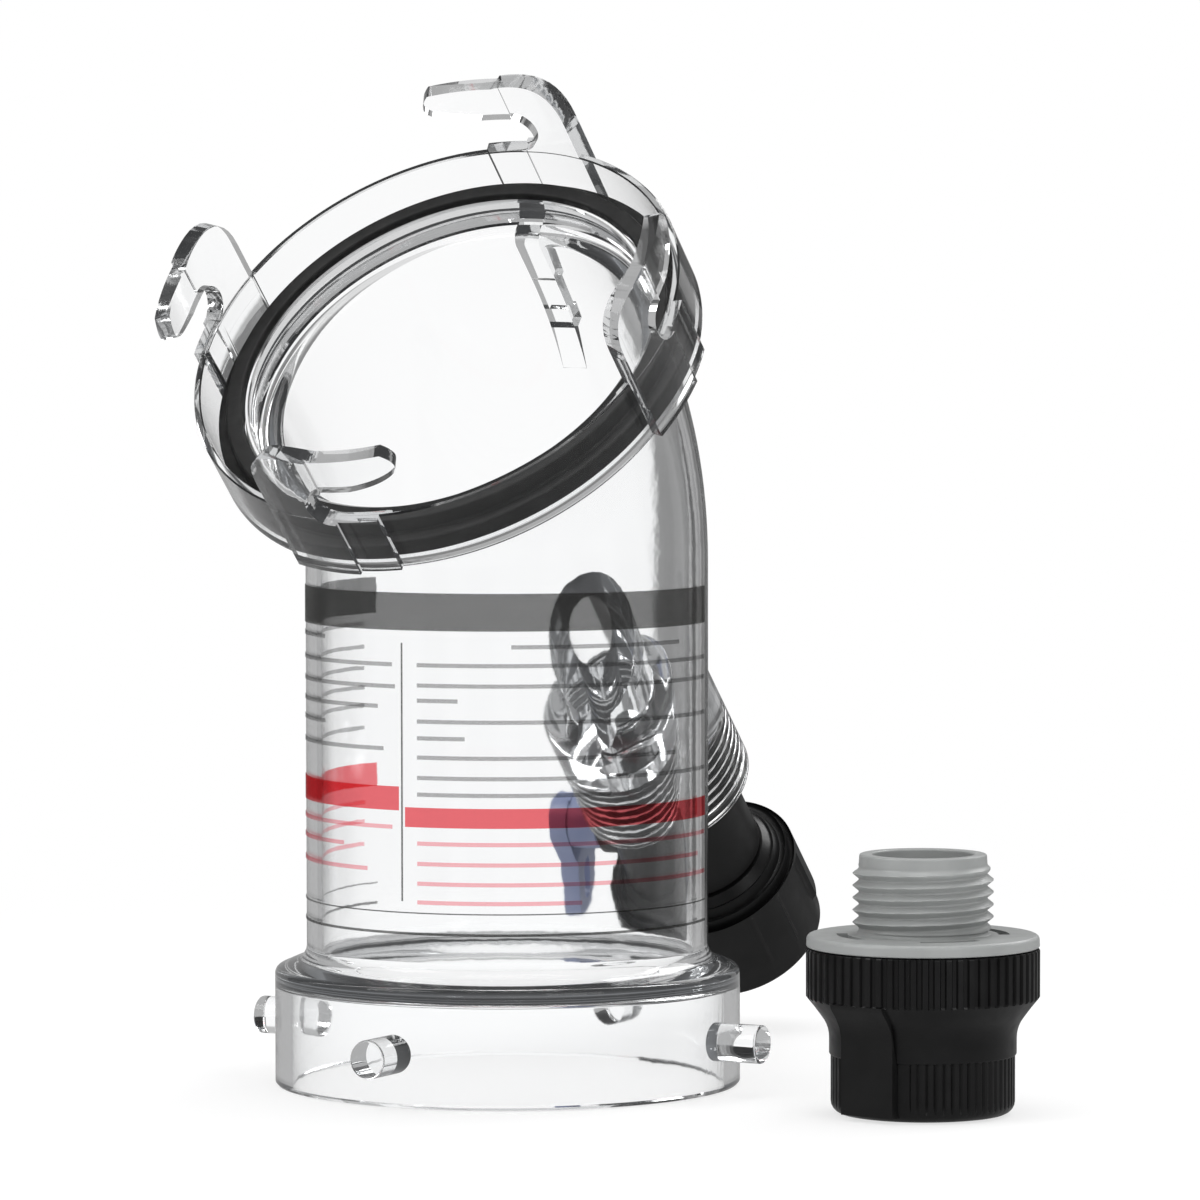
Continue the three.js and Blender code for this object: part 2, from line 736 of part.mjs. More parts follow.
// ---------------------------------------------------------------- the lever
// Its arm lies along the valve's axis when the valve is open, and flares away from it:
// in its own frame +X runs along the valve and +Z away from the body.
function valveLever() {
  const hubBack = -leverHub;
  const side = [
    [hubBack, leverStand],
    [leverKnee, leverStand],
    [leverLength, leverStand + leverFlare],
    [leverLength, leverStand + leverFlare + leverThickness],
    [leverKnee, leverStand + leverThickness],
    [hubBack, leverStand + leverThickness],
  ];
  const reach = leverStand + leverFlare + leverThickness + past;
  // The side view's x runs along the valve, its y away from the body.
  const sideBasis = new THREE.Matrix4().makeBasis(
    new THREE.Vector3(1, 0, 0), new THREE.Vector3(0, 0, 1), new THREE.Vector3(0, -1, 0));
  const arm = solid(extruded(side, leverWidth), shift(0, leverWidth / 2, 0).multiply(sideBasis));
  const plan = solid(extruded(stadium(0, leverLength - leverWidth / 2, leverWidth / 2), reach));
  const slotEnd = leverLength - leverWidth / 2;
  const slotStart = slotEnd - leverSlotLength + leverSlotWidth;
  const slot = solid(extruded(stadium(slotStart, slotEnd, leverSlotWidth / 2), reach));
  const hub = solid(disc(leverHub, bossReach + slideGap, leverStand + leverThickness / 2));
  const socketEnd = leverStand + stemSink + seatGap;
  const spindleHole = solid(disc(spindleRadius + seatGap, bossReach, socketEnd, smallFacets));
  const screwHole = solid(disc(screwShank + seatGap, bossReach, reach, smallFacets));
  const lever = cut(joined(arm.intersect(plan), hub), slot, spindleHole, screwHole);
  return lever.transform(spindleFrame.elements);
}

function stadium(from, to, radius) {
  const shape = new THREE.Shape();
  shape.absarc(to, 0, radius, -Math.PI / 2, Math.PI / 2, false);
  shape.absarc(from, 0, radius, Math.PI / 2, Math.PI * 1.5, false);
  return shape;
}

function leverScrew() {
  const seat = leverStand + leverThickness + seatGap;
  const end = leverStand + stemSink - screwLength + seatGap;
  const geometry = turned([
    [0, end],
    [screwShank, end],
    [screwShank, seat],
    [screwHead, seat],
    [screwHead, seat + screwHeadEdge],
    [screwHeadFlat, seat + screwHeadHeight],
    [0, seat + screwHeadHeight],
  ], smallFacets);
  return geometry.applyMatrix4(spindleFrame);
}

// -------------------------------------------- tailpiece and swivel hose nut
const nutStart = bodyEnd + seatGap;
const nutEnd = nutStart + nutLength;
const nutFloor = nutStart + nutBack;
const flangeLow = nutFloor + seatGap;
const flangeHigh = flangeLow + flangeThickness;

function valveTailpiece() {
  const start = ballCentre + seatReach + seatGap;
  return turned([
    [tailBore, start],
    [chamberRadius - seatGap, start],
    [chamberRadius - seatGap, nutStart],
    [spigotRadius, nutStart],
    [spigotRadius, flangeLow],
    [flangeRadius, flangeLow],
    [flangeRadius, flangeHigh],
    [tailBore, flangeHigh],
  ]);
}

function hoseNut() {
  const hole = spigotRadius + slideGap;
  const shoulder = [
    [hole, nutStart],
    ...nutShoulderSteps.map(([inward, along]) => [nutShoulder - inward, nutStart + along]),
    [nutShoulder, nutStart + nutShoulderWidth],
    [nutRadius, nutStart + nutShoulderWidth + nutEdge],
  ];
  const end = quarter(nutRadius - nutEdge, nutEnd - nutEdge, nutEdge, 0);
  const inside = [[nutBore, nutEnd], [nutBore, nutFloor], [hole, nutFloor]];
  const body = solid(turned([...shoulder, ...end, ...inside]));
  const ribs = [];
  const ribInner = nutBore + nutRibRoot;
  const ribStart = nutStart + nutShoulderWidth - nutRibSink;
  const ribReach = nutStart + nutRibLength - ribStart;
  const ribBox = new THREE.BoxGeometry(nutShoulder - ribInner, nutRibWidth, ribReach);
  const ribMiddle = shift((nutShoulder + ribInner) / 2, 0, ribStart + ribReach / 2);
  const crown = solid(disc(nutShoulder, nutStart, nutEnd));
  for (let i = 0; i < nutRibs; i++) {
    const place = turnZ((360 * (i + 0.5)) / nutRibs).multiply(ribMiddle);
    ribs.push(solid(ribBox, place).intersect(crown));
  }
  return joined(body, ...ribs);
}

function hoseWasher() {
  const low = flangeHigh + seatGap;
  return ring(tailBore + washerEase, nutBore - seatGap, low, low + hoseWasherThickness);
}

// ------------------------------------------------------------ vacuum breaker
const headTop = headStart + headHeight;
const partitionTop = inletDepth + partition;
const capLow = headTop + seatGap;
const capTop = capLow + capFlange;
const diaphragmLow = clampLedge + seatGap;
const spigotLow = diaphragmLow + diaphragmThickness + seatGap;
const threadLow = capTop + capThreadStart;
const threadHigh = threadLow + capThreadLength;
const capEnd = threadHigh + capCollar;
const discLow = partitionTop + seatGap;
const poppetLow = discLow + discThickness + seatGap;
const poppetHigh = poppetLow + poppetThickness;
const spiderLow = poppetLow + guideLength - guideThrough;

function breakerBody() {
  const bandLow = barrelHeight;
  const bandTop = bandLow + bandHeight;
  const flare = flareSteps.map(([out, up]) => [
    THREE.MathUtils.lerp(bandRadius, headRadius, out),
    THREE.MathUtils.lerp(bandTop, headStart, up),
  ]);
  const foot = quarter(barrelRadius - barrelEdge, barrelEdge, barrelEdge, -90);
  const body = solid(turned([
    [inletBore, 0],
    ...foot,
    [barrelRadius, bandLow],
    [bandRadius, bandLow],
    [bandRadius, bandTop],
    ...flare,
    [headRadius, headStart],
    [headRadius, headTop],
    [upperChamber, headTop],
    [upperChamber, clampLedge],
    [lowerChamber, clampLedge],
    [lowerChamber, partitionTop],
    [partitionHole, partitionTop],
    [partitionHole, inletDepth],
    [inletBore, inletDepth],
  ]));
  // A flat pad stands on the barrel's side, from its foot up into the flare.
  const proud = barrelRadius + padProud;
  const padInner = inletBore + padRoot;
  const pad = new THREE.BoxGeometry(proud - padInner, padWidth, clampLedge - barrelEdge);
  const padMiddle = shift((proud + padInner) / 2, 0, (clampLedge + barrelEdge) / 2);
  return joined(body, solid(pad, turnZ(padDirection).multiply(padMiddle)));
}

function breakerWasherForm() {
  const high = inletDepth - seatGap;
  return ring(partitionHole + breakerWasherEase, inletBore - seatGap, high - breakerWasher, high);
}

function breakerDiaphragm() {
  return ring(diaphragmHole, upperChamber - seatGap, diaphragmLow, diaphragmLow + diaphragmThickness);
}

function breakerCap() {
  const spigotOuter = upperChamber - seatGap;
  const spigotInner = spigotOuter - capSpigotWall;
  const guideHole = guideRadius + slideGap;
  const profile = [
    [guideHole, spiderLow],
    [capNeck, spiderLow],
    [capNeck, capLow],
    [spigotInner, capLow],
    [spigotInner, spigotLow],
    [spigotOuter, spigotLow],
    [spigotOuter, capLow],
    [headRadius, capLow],
    [headRadius, capTop - capFlangeEdge],
    [headRadius - capFlangeEdge, capTop],
    [capNeck, capTop],
    [capNeck, threadLow],
    [capThread, threadLow],
    [capThread, threadHigh],
    [capNeck, threadHigh],
    [capNeck, capEnd],
    [capBore, capEnd],
    [capBore, spiderLow + spiderThickness],
    [guideHole, spiderLow + spiderThickness],
  ];
  const cap = solid(turned(profile));
  const cuts = [];
  for (let i = 0; i < spiderHoles; i++) {
    const [x, y] = polar((360 * i) / spiderHoles, (guideHole + capBore) / 2);
    const hole = disc(spiderHoleRadius, spiderLow - past, spiderLow + spiderThickness + past, smallFacets);
    cuts.push(solid(hole, shift(x, y, 0)));
  }
  for (let i = 0; i < ventCount; i++) {
    const vent = extruded(ventOutline((360 * (i + 0.5)) / ventCount), capFlange + past * 2);
    cuts.push(solid(vent, shift(0, 0, capLow - past)));
  }
  return cut(cap, ...cuts);
}

function ventOutline(middle) {
  const shape = new THREE.Shape();
  const from = radians(middle - ventSpan / 2);
  const to = radians(middle + ventSpan / 2);
  shape.absarc(0, 0, ventOuter, from, to, false);
  shape.absarc(0, 0, ventInner, to, from, true);
  return shape;
}

function sealDisc() {
  return ring(0, poppetRadius, discLow, discLow + discThickness, smallFacets);
}

function breakerPoppet() {
  return turned([
    [0, poppetLow],
    [poppetRadius, poppetLow],
    [poppetRadius, poppetHigh],
    [guideRadius, poppetHigh],
    [guideRadius, poppetLow + guideLength],
    [0, poppetLow + guideLength],
  ], smallFacets);
}

class Coil extends THREE.Curve {
  constructor(radius, low, high, turns) {
    super();
    Object.assign(this, { radius, low, high, turns });
  }

  getPoint(share, target = new THREE.Vector3()) {
    const [x, y] = polar(360 * this.turns * share, this.radius);
    return target.set(x, y, THREE.MathUtils.lerp(this.low, this.high, share));
  }
}

function breakerSpring() {
  const low = poppetHigh + seatGap + springWire / 2;
  const high = spiderLow - seatGap - springWire / 2;
  const section = new THREE.Shape();
  section.absarc(0, 0, springWire / 2, 0, Math.PI * 2, false);
  const coil = new Coil(springRadius, low, high, springTurns);
  const options = { steps: springTurns * coilSteps, extrudePath: coil, curveSegments: wireSteps };
  return new THREE.ExtrudeGeometry(section, options);
}

// ------------------------------------------------------------------ assembly
const elbow = new THREE.Group();
elbow.add(piece('elbow_body', elbowBody(), clearPlastic));

const mouth = new THREE.Group();
mouth.applyMatrix4(upperFrame);
mouth.add(piece('ring_gasket', ringGasket(), blackRubber));
elbow.add(mouth);

const valve = new THREE.Group();
valve.applyMatrix4(inletFrame);
valve.add(piece('inlet_washer', inletWasher(), blackRubber));
valve.add(piece('valve_body', valveBody(), blackPlastic));
valve.add(piece('ball_seat_inlet', ballSeat(1), whitePlastic));
valve.add(piece('ball_seat_outlet', ballSeat(-1), whitePlastic));
valve.add(piece('valve_ball', valveBall(), whitePlastic));
valve.add(piece('valve_stem', valveStem(), blackPlastic));
valve.add(piece('stem_seal', stemSeal(), blackRubber));
valve.add(piece('valve_lever', valveLever(), bluePlastic));
valve.add(piece('lever_screw', leverScrew(), steel));
valve.add(piece('valve_tailpiece', valveTailpiece(), blackPlastic));
valve.add(piece('hose_nut', hoseNut(), blackPlastic));
valve.add(piece('hose_washer', hoseWasher(), blackRubber));
elbow.add(valve);

const breaker = new THREE.Group();
breaker.position.set(breakerX, breakerY, 0);
breaker.add(piece('breaker_body', breakerBody(), blackPlastic));
breaker.add(piece('breaker_washer', breakerWasherForm(), blackRubber));
breaker.add(piece('breaker_diaphragm', breakerDiaphragm(), blackRubber));
breaker.add(piece('breaker_cap', breakerCap(), greyPlastic));
breaker.add(piece('breaker_seal_disc', sealDisc(), blackRubber));
breaker.add(piece('breaker_poppet', breakerPoppet(), whitePlastic));
breaker.add(piece('breaker_spring', breakerSpring(), steel));

// The origin is under the middle of the whole kit, on the surface it stands on.
const kit = new THREE.Group();
kit.add(elbow, breaker);
kit.updateMatrixWorld(true);
const box = new THREE.Box3().setFromObject(kit, true);
const centre = box.getCenter(new THREE.Vector3());
kit.position.set(-centre.x, -centre.y, -box.min.z);

export default kit;
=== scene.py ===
"""The looks of the sewer hose kit: clear elbow, ball valve, hose nut and vacuum breaker.

Shapes are written in millimetres in local frames (the leg's, the upper leg's, the inlet's, the
spindle's and the breaker's) and placed in the row frame, in metres, by each frame's matrix.
"""

import json
import math

import bmesh
import bpy
from mathutils import Matrix, Vector

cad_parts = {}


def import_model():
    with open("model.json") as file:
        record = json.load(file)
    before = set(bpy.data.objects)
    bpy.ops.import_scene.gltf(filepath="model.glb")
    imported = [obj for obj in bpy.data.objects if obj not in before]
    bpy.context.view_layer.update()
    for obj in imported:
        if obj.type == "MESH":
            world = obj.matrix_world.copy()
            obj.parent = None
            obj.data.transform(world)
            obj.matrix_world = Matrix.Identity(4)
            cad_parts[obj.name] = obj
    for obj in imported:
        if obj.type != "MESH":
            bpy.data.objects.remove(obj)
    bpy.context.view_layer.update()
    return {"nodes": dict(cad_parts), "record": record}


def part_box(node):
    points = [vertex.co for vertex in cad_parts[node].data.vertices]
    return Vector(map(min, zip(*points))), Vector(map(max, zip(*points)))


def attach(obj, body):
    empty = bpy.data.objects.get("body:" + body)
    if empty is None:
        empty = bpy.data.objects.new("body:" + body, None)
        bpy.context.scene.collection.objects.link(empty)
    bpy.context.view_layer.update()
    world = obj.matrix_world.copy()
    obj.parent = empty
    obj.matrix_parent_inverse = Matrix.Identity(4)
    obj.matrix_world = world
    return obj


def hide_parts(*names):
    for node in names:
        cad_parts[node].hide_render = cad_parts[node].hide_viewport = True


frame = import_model()
NODES = frame["nodes"]

# ---------------------------------------------------------------- sizes, mm
MM = 0.001
SEAT = 0.3  # gap between two pieces that fit together
AXIS = 0.001  # a radius next to nothing, where a turned form closes on its axis

BEND_ANGLE = 45
BEND_RADIUS = 41
LEG_HEIGHT = 119.8
TUBE_RADIUS = 39.5
TUBE_WALL = 3
BORE_RADIUS = TUBE_RADIUS - TUBE_WALL

LUG_RADIUS = 45.75
LUG_WALL = 3.4
LUG_HEIGHT = 22.3
SHOULDER_RISE = 2
LEDGE_WALL = 4
LUG_ROUND = 1.6
LEG_FILLET = 3
PIN_RADIUS = 3.75
PIN_HEIGHT = 10.25
PIN_REACH = 56.1
PIN_COUNT = 4

RING_BACK = 26.5
RING_FLOOR = 2
RING_RIM = 41
RING_RADIUS = 49.7
RING_INNER = 48.3
COLLAR_RADIUS = 40.8
COLLAR_WALL = 2.7
COLLAR_TOP = 34.4
COLLAR_DRAFT = 1.85
MOUTH_ROUND = 1.8
HEEL_ROUND = 1.6
RING_ROUND = 0.8

HOOK_COUNT = 4
HOOK_INNER = 48.4
FINGER_OUTER = 51.5
STEM_OUTER = 52.1
PAD_OUTER = 51.2
UNDERSIDE = 49.5
HOOK_SUMMIT = 57.6
HOOK_CROWN = HOOK_SUMMIT + 0.8
HOOK_SHOULDER = HOOK_SUMMIT - 8.1
HOOK_FOOT = 27.5
STEM_START = -17
STEM_END = -0.8
PAD_END = 8.5
FINGER_END = 19
POCKET_BACK = -1.2

INLET_LIFT = 2.56
SOCKET_RADIUS = 17.4
SOCKET_REACH = 96.5
SOCKET_BORE = 13.6
SOCKET_FLOOR = 80.5
SOCKET_BACK = 67.5
SOCKET_ROUND = 2.5
NECK_RADIUS = 10.5
WEB_WIDTH = 8
PASSAGE_RADIUS = 5
NECK_ROOT = 22

THREAD_PITCH = 2.21
THREAD_DEPTH = 1.25
RIDGE_SLOPE = 2.3
FADE_RATE = 1.6
BODY_END = 118
BALL_CENTRE = 109
NUT_START = BODY_END + SEAT

BREAKER_OFFSET = Vector((92.8, -5.8, 0))

# ------------------------------------------------------------ local frames


def middle(node):
    """The middle of a CAD node's box."""
    low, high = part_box(node)
    return (Vector(low) + Vector(high)) / 2


BREAKER_AXIS = middle("breaker_cap")
BREAKER_FRAME = Matrix.Translation((BREAKER_AXIS.x, BREAKER_AXIS.y, 0)) @ Matrix.Scale(MM, 4)
LEG_FRAME = BREAKER_FRAME @ Matrix.Translation(-BREAKER_OFFSET)
LEAN = Matrix.Rotation(math.radians(BEND_ANGLE), 4, "X")
UPPER_IN_LEG = Matrix.Translation((0, 0, LEG_HEIGHT)) @ LEAN
INLET_IN_LEG = UPPER_IN_LEG @ Matrix.Translation((0, INLET_LIFT, 0)) @ Matrix.Rotation(math.pi, 4, "X")
UPPER_FRAME = LEG_FRAME @ UPPER_IN_LEG
INLET_FRAME = LEG_FRAME @ INLET_IN_LEG
SPINDLE_FRAME = Matrix.Translation((0, 0, BALL_CENTRE)) @ Matrix.Rotation(-math.pi / 2, 4, "Y")
IN_PLACE = Matrix.Identity(4)

# --------------------------------------------------------------- mesh helpers

SHARP_ANGLE = 35
ROUND_ANGLE = 40


def smooth(mesh, sharp=SHARP_ANGLE):
    """Smooth shading except where faces meet at more than that angle."""
    mesh.shade_smooth()
    mesh.set_sharp_from_angle(angle=math.radians(sharp))


def make(name, bm, matrix=IN_PLACE):
    """A mesh object from a bmesh in a local frame, smooth except at its edges."""
    bm.transform(matrix)
    bmesh.ops.remove_doubles(bm, verts=bm.verts, dist=1e-7)
    bmesh.ops.recalc_face_normals(bm, faces=bm.faces)
    mesh = bpy.data.meshes.new(name)
    bm.to_mesh(mesh)
    bm.free()
    smooth(mesh)
    piece = bpy.data.objects.new(name, mesh)
    bpy.context.scene.collection.objects.link(piece)
    return piece


def grid(bm, rows, wrap_rows=False):
    """Joins rows of vertices, each row a closed loop, into a skin."""
    pairs = list(zip(rows, rows[1:]))
    if wrap_rows:
        pairs.append((rows[-1], rows[0]))
    for low, high in pairs:
        count = len(low)
        for i in range(count):
            j = (i + 1) % count
            bm.faces.new((low[i], low[j], high[j], high[i]))


def close_ends(bm, rows):
    """Faces over a skin's first and last rows."""
    bm.faces.new(list(reversed(rows[0])))
    bm.faces.new(rows[-1])


def revolve(profile, segments, ripple=None):
    """A turned form about +Z from a closed loop of (radius, height) points.

    ripple(angle, radius, height) moves the radius.
    """
    bm = bmesh.new()
    rows = []
    for radius, height in profile:
        row = []
        for i in range(segments):
            angle = 2 * math.pi * i / segments
            reach = ripple(angle, radius, height) if ripple else radius
            row.append(bm.verts.new((reach * math.cos(angle), reach * math.sin(angle), height)))
        rows.append(row)
    grid(bm, rows, wrap_rows=True)
    return bm


def arc(radius, height, size, start, end, steps=5):
    """Points (radius, height) of a round corner about its centre, from start to end in degrees."""
    points = []
    for i in range(steps + 1):
        angle = math.radians(start + (end - start) * i / steps)
        points.append((radius + size * math.cos(angle), height + size * math.sin(angle)))
    return points


def prism(outline, low, high):
    """A flat outline of (x, y) points between two heights."""
    bm = bmesh.new()
    bottom = [bm.verts.new((x, y, low)) for x, y in outline]
    top = [bm.verts.new((x, y, high)) for x, y in outline]
    close_ends(bm, [bottom, top])
    grid(bm, [bottom, top])
    return bm


def block(start, end, low, high):
    """The corners of a rectangle, as an outline or a profile."""
    return [(start, low), (end, low), (end, high), (start, high)]


def add_cuts(bm, places):
    """Adds edges round a form at each place along X, so that it can be bent."""
    for x in places:
        everything = bm.verts[:] + bm.edges[:] + bm.faces[:]
        bmesh.ops.bisect_plane(bm, geom=everything, plane_co=(x, 0, 0), plane_no=(1, 0, 0))


def rounded(bm, size, segments=3):
    """Rounds the edges of a form where its faces meet at more than ROUND_ANGLE."""
    limit = math.radians(ROUND_ANGLE)
    edges = [e for e in bm.edges if e.is_manifold and e.calc_face_angle(0) > limit]
    bmesh.ops.bevel(
        bm, geom=edges, offset=size, segments=segments, profile=0.5, affect="EDGES", clamp_overlap=True
    )
    return bm


def combined(piece, other, operation):
    """Joins other to piece, or cuts it out, and drops other."""
    modifier = piece.modifiers.new("combine", "BOOLEAN")
    modifier.operation = operation
    modifier.object = other
    modifier.solver = "EXACT"
    view = bpy.context.evaluated_depsgraph_get()
    result = bpy.data.meshes.new_from_object(piece.evaluated_get(view))
    piece.modifiers.clear()
    piece.data = result
    bpy.data.objects.remove(other)
    return piece


def merged(*forms):
    """Several separate bmeshes as one."""
    whole = bmesh.new()
    for form in forms:
        part = bpy.data.meshes.new("part")
        form.to_mesh(part)
        form.free()
        whole.from_mesh(part)
        bpy.data.meshes.remove(part)
    return whole


def finish_surface(piece, sharp=SHARP_ANGLE):
    smooth(piece.data, sharp)
    weighted = piece.modifiers.new("normals", "WEIGHTED_NORMAL")
    weighted.keep_sharp = True
    return piece


def ridge(turns):
    """A thread's height, from 0 at the root to 1 at the crest, at that many turns along it."""
    return max(0.0, 1 - abs((turns % 1) - 0.5) * RIDGE_SLOPE)


def thread_profile(low, high, radius, step=THREAD_PITCH / 12):
    """Points (radius, height) close enough to carry a thread between low and high."""
    count = max(2, round((high - low) / step))
    return [(radius, low + (high - low) * i / count) for i in range(count + 1)]


def thread_ripple(low, high, root, crest, pitch=THREAD_PITCH, phase=0.0):
    """Moves the radius of thread_profile's points onto a helical thread that fades at its ends."""

    def ripple(angle, radius, height):
        if abs(radius - root) > 1e-6 or height < low or height > high:
            return radius
        fade = min(1, (height - low) / pitch, (high - height) / pitch)
        turns = height / pitch - angle / (2 * math.pi) + phase
        return root + (crest - root) * ridge(turns) * max(0, min(1, fade * FADE_RATE))

    return ripple


# ------------------------------------------------------------------ materials


def node_range(tree, value, low, high, start=0.0, end=1.0, curve="SMOOTHSTEP"):
    """The output of a node that takes a socket's low to high onto start to end."""
    node = tree.nodes.new("ShaderNodeMapRange")
    node.interpolation_type = curve
    node.inputs["From Min"].default_value = low
    node.inputs["From Max"].default_value = high
    node.inputs["To Min"].default_value = start
    node.inputs["To Max"].default_value = end
    tree.links.new(value, node.inputs["Value"])
    return node.outputs["Result"]


ROUGH_NOISE = (0.3, 0.7)
TINT_STOPS = (0.35, 0.65)


class Shader:
    """A Principled material with noise in its roughness and a fine bump."""

    def __init__(self, name, color, roughness, spread, grain, bump, depth=0.00005):
        self.material = bpy.data.materials.new(name)
        self.material.use_nodes = True
        self.tree = self.material.node_tree
        self.shader = self.tree.nodes["Principled BSDF"]
        self.shader.inputs["Base Color"].default_value = (*color, 1)
        self.place = self.tree.nodes.new("ShaderNodeTexCoord").outputs["Object"]
        self.roughen(roughness, spread, grain)
        self.emboss(grain * 1.7, bump, depth)

    def noise(self, scale, detail=3):
        node = self.tree.nodes.new("ShaderNodeTexNoise")
        node.inputs["Scale"].default_value = scale
        node.inputs["Detail"].default_value = detail
        self.tree.links.new(self.place, node.inputs["Vector"])
        return node.outputs["Fac"]

    def roughen(self, roughness, spread, scale):
        fine = self.noise(scale * 0.2)
        uneven = node_range(self.tree, fine, *ROUGH_NOISE, roughness - spread, roughness + spread, "LINEAR")
        self.tree.links.new(uneven, self.shader.inputs["Roughness"])

    def emboss(self, scale, strength, depth):
        bump = self.tree.nodes.new("ShaderNodeBump")
        bump.inputs["Strength"].default_value = strength
        bump.inputs["Distance"].default_value = depth
        self.tree.links.new(self.noise(scale, 2), bump.inputs["Height"])
        self.tree.links.new(bump.outputs["Normal"], self.shader.inputs["Normal"])

    def tint(self, dark, light, scale):
        """Lets the colour drift between two values."""
        ramp = self.tree.nodes.new("ShaderNodeValToRGB")
        for element, stop, color in zip(ramp.color_ramp.elements, TINT_STOPS, (dark, light)):
            element.position = stop
            element.color = (*color, 1)
        self.tree.links.new(self.noise(scale), ramp.inputs["Fac"])
        self.tree.links.new(ramp.outputs["Color"], self.shader.inputs["Base Color"])

    def set(self, **values):
        for name, value in values.items():
            self.shader.inputs[name.replace("_", " ")].default_value = value


CLEAR_TINT = (0.62, 0.64, 0.66, 1)
CLEAR_DENSITY = 12
# Painted glow: an emission inside the clear plastic, not a lamp, that lightens its dark edges.
PAINTED_GLOW_TINT = (0.95, 0.97, 1, 1)
PAINTED_GLOW = 1.6


def clear_plastic():
    """Clear, with a little painted glow: light given off inside the plastic, which shows only where light is
    piped a long way through it.
    """
    look = Shader("clear_plastic", (0.995, 0.998, 1.0), 0.035, 0.02, 120, 0.12, 0.00012)
    look.set(Transmission_Weight=1.0, IOR=1.5, Specular_Tint=(0.35, 0.35, 0.35, 1))
    volume = look.tree.nodes.new("ShaderNodeVolumeAbsorption")
    volume.inputs["Color"].default_value = CLEAR_TINT
    volume.inputs["Density"].default_value = CLEAR_DENSITY
    # The emission node below is painted glow: the plastic's volume gives off light; it is not a lamp and not
    # scattering.
    glow = look.tree.nodes.new("ShaderNodeEmission")
    glow.inputs["Color"].default_value = PAINTED_GLOW_TINT
    glow.inputs["Strength"].default_value = PAINTED_GLOW
    both = look.tree.nodes.new("ShaderNodeAddShader")
    look.tree.links.new(volume.outputs["Volume"], both.inputs[0])
    look.tree.links.new(glow.outputs["Emission"], both.inputs[1])
    look.tree.links.new(both.outputs["Shader"], look.tree.nodes["Material Output"].inputs["Volume"])
    return look.material


def solid(name, color, surface, tint=None, **settings):
    """A material from its colour, its surface (roughness, spread, grain, bump) and its drift."""
    look = Shader(name, color, *surface)
    if tint:
        look.tint(*tint)
    look.set(**settings)
    return look.material


def ink(name, color, alpha):
    """A film that shades what lies behind it."""
    return solid(name, color, (0.4, 0.06, 900, 0.04), Alpha=alpha, Specular_IOR_Level=0.2)


def stain(name, color):
    """A film that colours what is seen through it."""
    return solid(name, color, (0.08, 0.03, 900, 0.02), Transmission_Weight=1.0, IOR=1.01)


LOOKS = {
    "clear_plastic": clear_plastic(),
    "black_plastic": solid(
        "black_plastic", (0.0052, 0.0052, 0.0053), (0.36, 0.06, 1500, 0.12),
        ((0.0042, 0.0042, 0.0044), (0.0062, 0.0062, 0.0064), 160), Specular_IOR_Level=0.27,
    ),
    "black_rubber": solid(
        "black_rubber", (0.009, 0.009, 0.009), (0.55, 0.08, 2200, 0.2),
        ((0.007, 0.007, 0.007), (0.012, 0.012, 0.012), 260), Specular_IOR_Level=0.3,
    ),
    "grey_plastic": solid(
        "grey_plastic", (0.29, 0.3, 0.297), (0.42, 0.06, 1300, 0.1),
        ((0.278, 0.287, 0.284), (0.303, 0.312, 0.309), 140), IOR=1.48,
    ),
    "blue_plastic": solid(
        "blue_plastic", (0.19, 0.225, 0.37), (0.38, 0.06, 1300, 0.1),
        ((0.18, 0.215, 0.36), (0.2, 0.235, 0.38), 150),
    ),
    "white_plastic": solid(
        "white_plastic", (0.74, 0.74, 0.71), (0.35, 0.05, 1100, 0.06),
        ((0.71, 0.71, 0.68), (0.76, 0.76, 0.73), 120),
    ),
    "steel": solid("steel", (0.56, 0.56, 0.57), (0.28, 0.08, 2400, 0.15), Metallic=1.0),
}


def dress(piece, slot, body, *nodes):
    """Gives a piece its look, its body and the CAD nodes that it stands for."""
    piece.data.materials.clear()
    piece.data.materials.append(LOOKS[slot])
    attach(piece, body)
    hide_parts(*nodes)


# ------------------------------------------------------------ elbow: stations

ELBOW_SEGMENTS = 160
BEND_STEPS = 16
TANGENT = BEND_RADIUS * math.tan(math.radians(BEND_ANGLE / 2))
BEND_START = LEG_HEIGHT - TANGENT

# A station is a circle's centre, its lean in degrees and its radius.


def lower(radius, height):
    """A station on the lower leg."""
    return Vector((0, 0, height)), 0, radius


def upper(radius, along):
    """A station on the upper leg."""
    return UPPER_IN_LEG @ Vector((0, 0, along)), BEND_ANGLE, radius


def bend(radius):
    """Stations round the bend, without its two ends."""
    stations = []
    for i in range(1, BEND_STEPS):
        lean = BEND_ANGLE * i / BEND_STEPS
        angle = math.radians(lean)
        centre = Vector((0, BEND_RADIUS * (math.cos(angle) - 1), BEND_START + BEND_RADIUS * math.sin(angle)))
        stations.append((centre, lean, radius))
    return stations


def loft(stations):
    """A solid through circles whose planes lean from the lower leg to the upper one."""
    bm = bmesh.new()
    rows = []
    for centre, lean, radius in stations:
        side = Vector((0, math.cos(math.radians(lean)), math.sin(math.radians(lean))))
        row = []
        for i in range(ELBOW_SEGMENTS):
            angle = 2 * math.pi * i / ELBOW_SEGMENTS
            point = centre + side * (radius * math.sin(angle))
            point.x += radius * math.cos(angle)
            row.append(bm.verts.new(point))
        rows.append(row)
    grid(bm, rows)
    close_ends(bm, rows)
    return bm


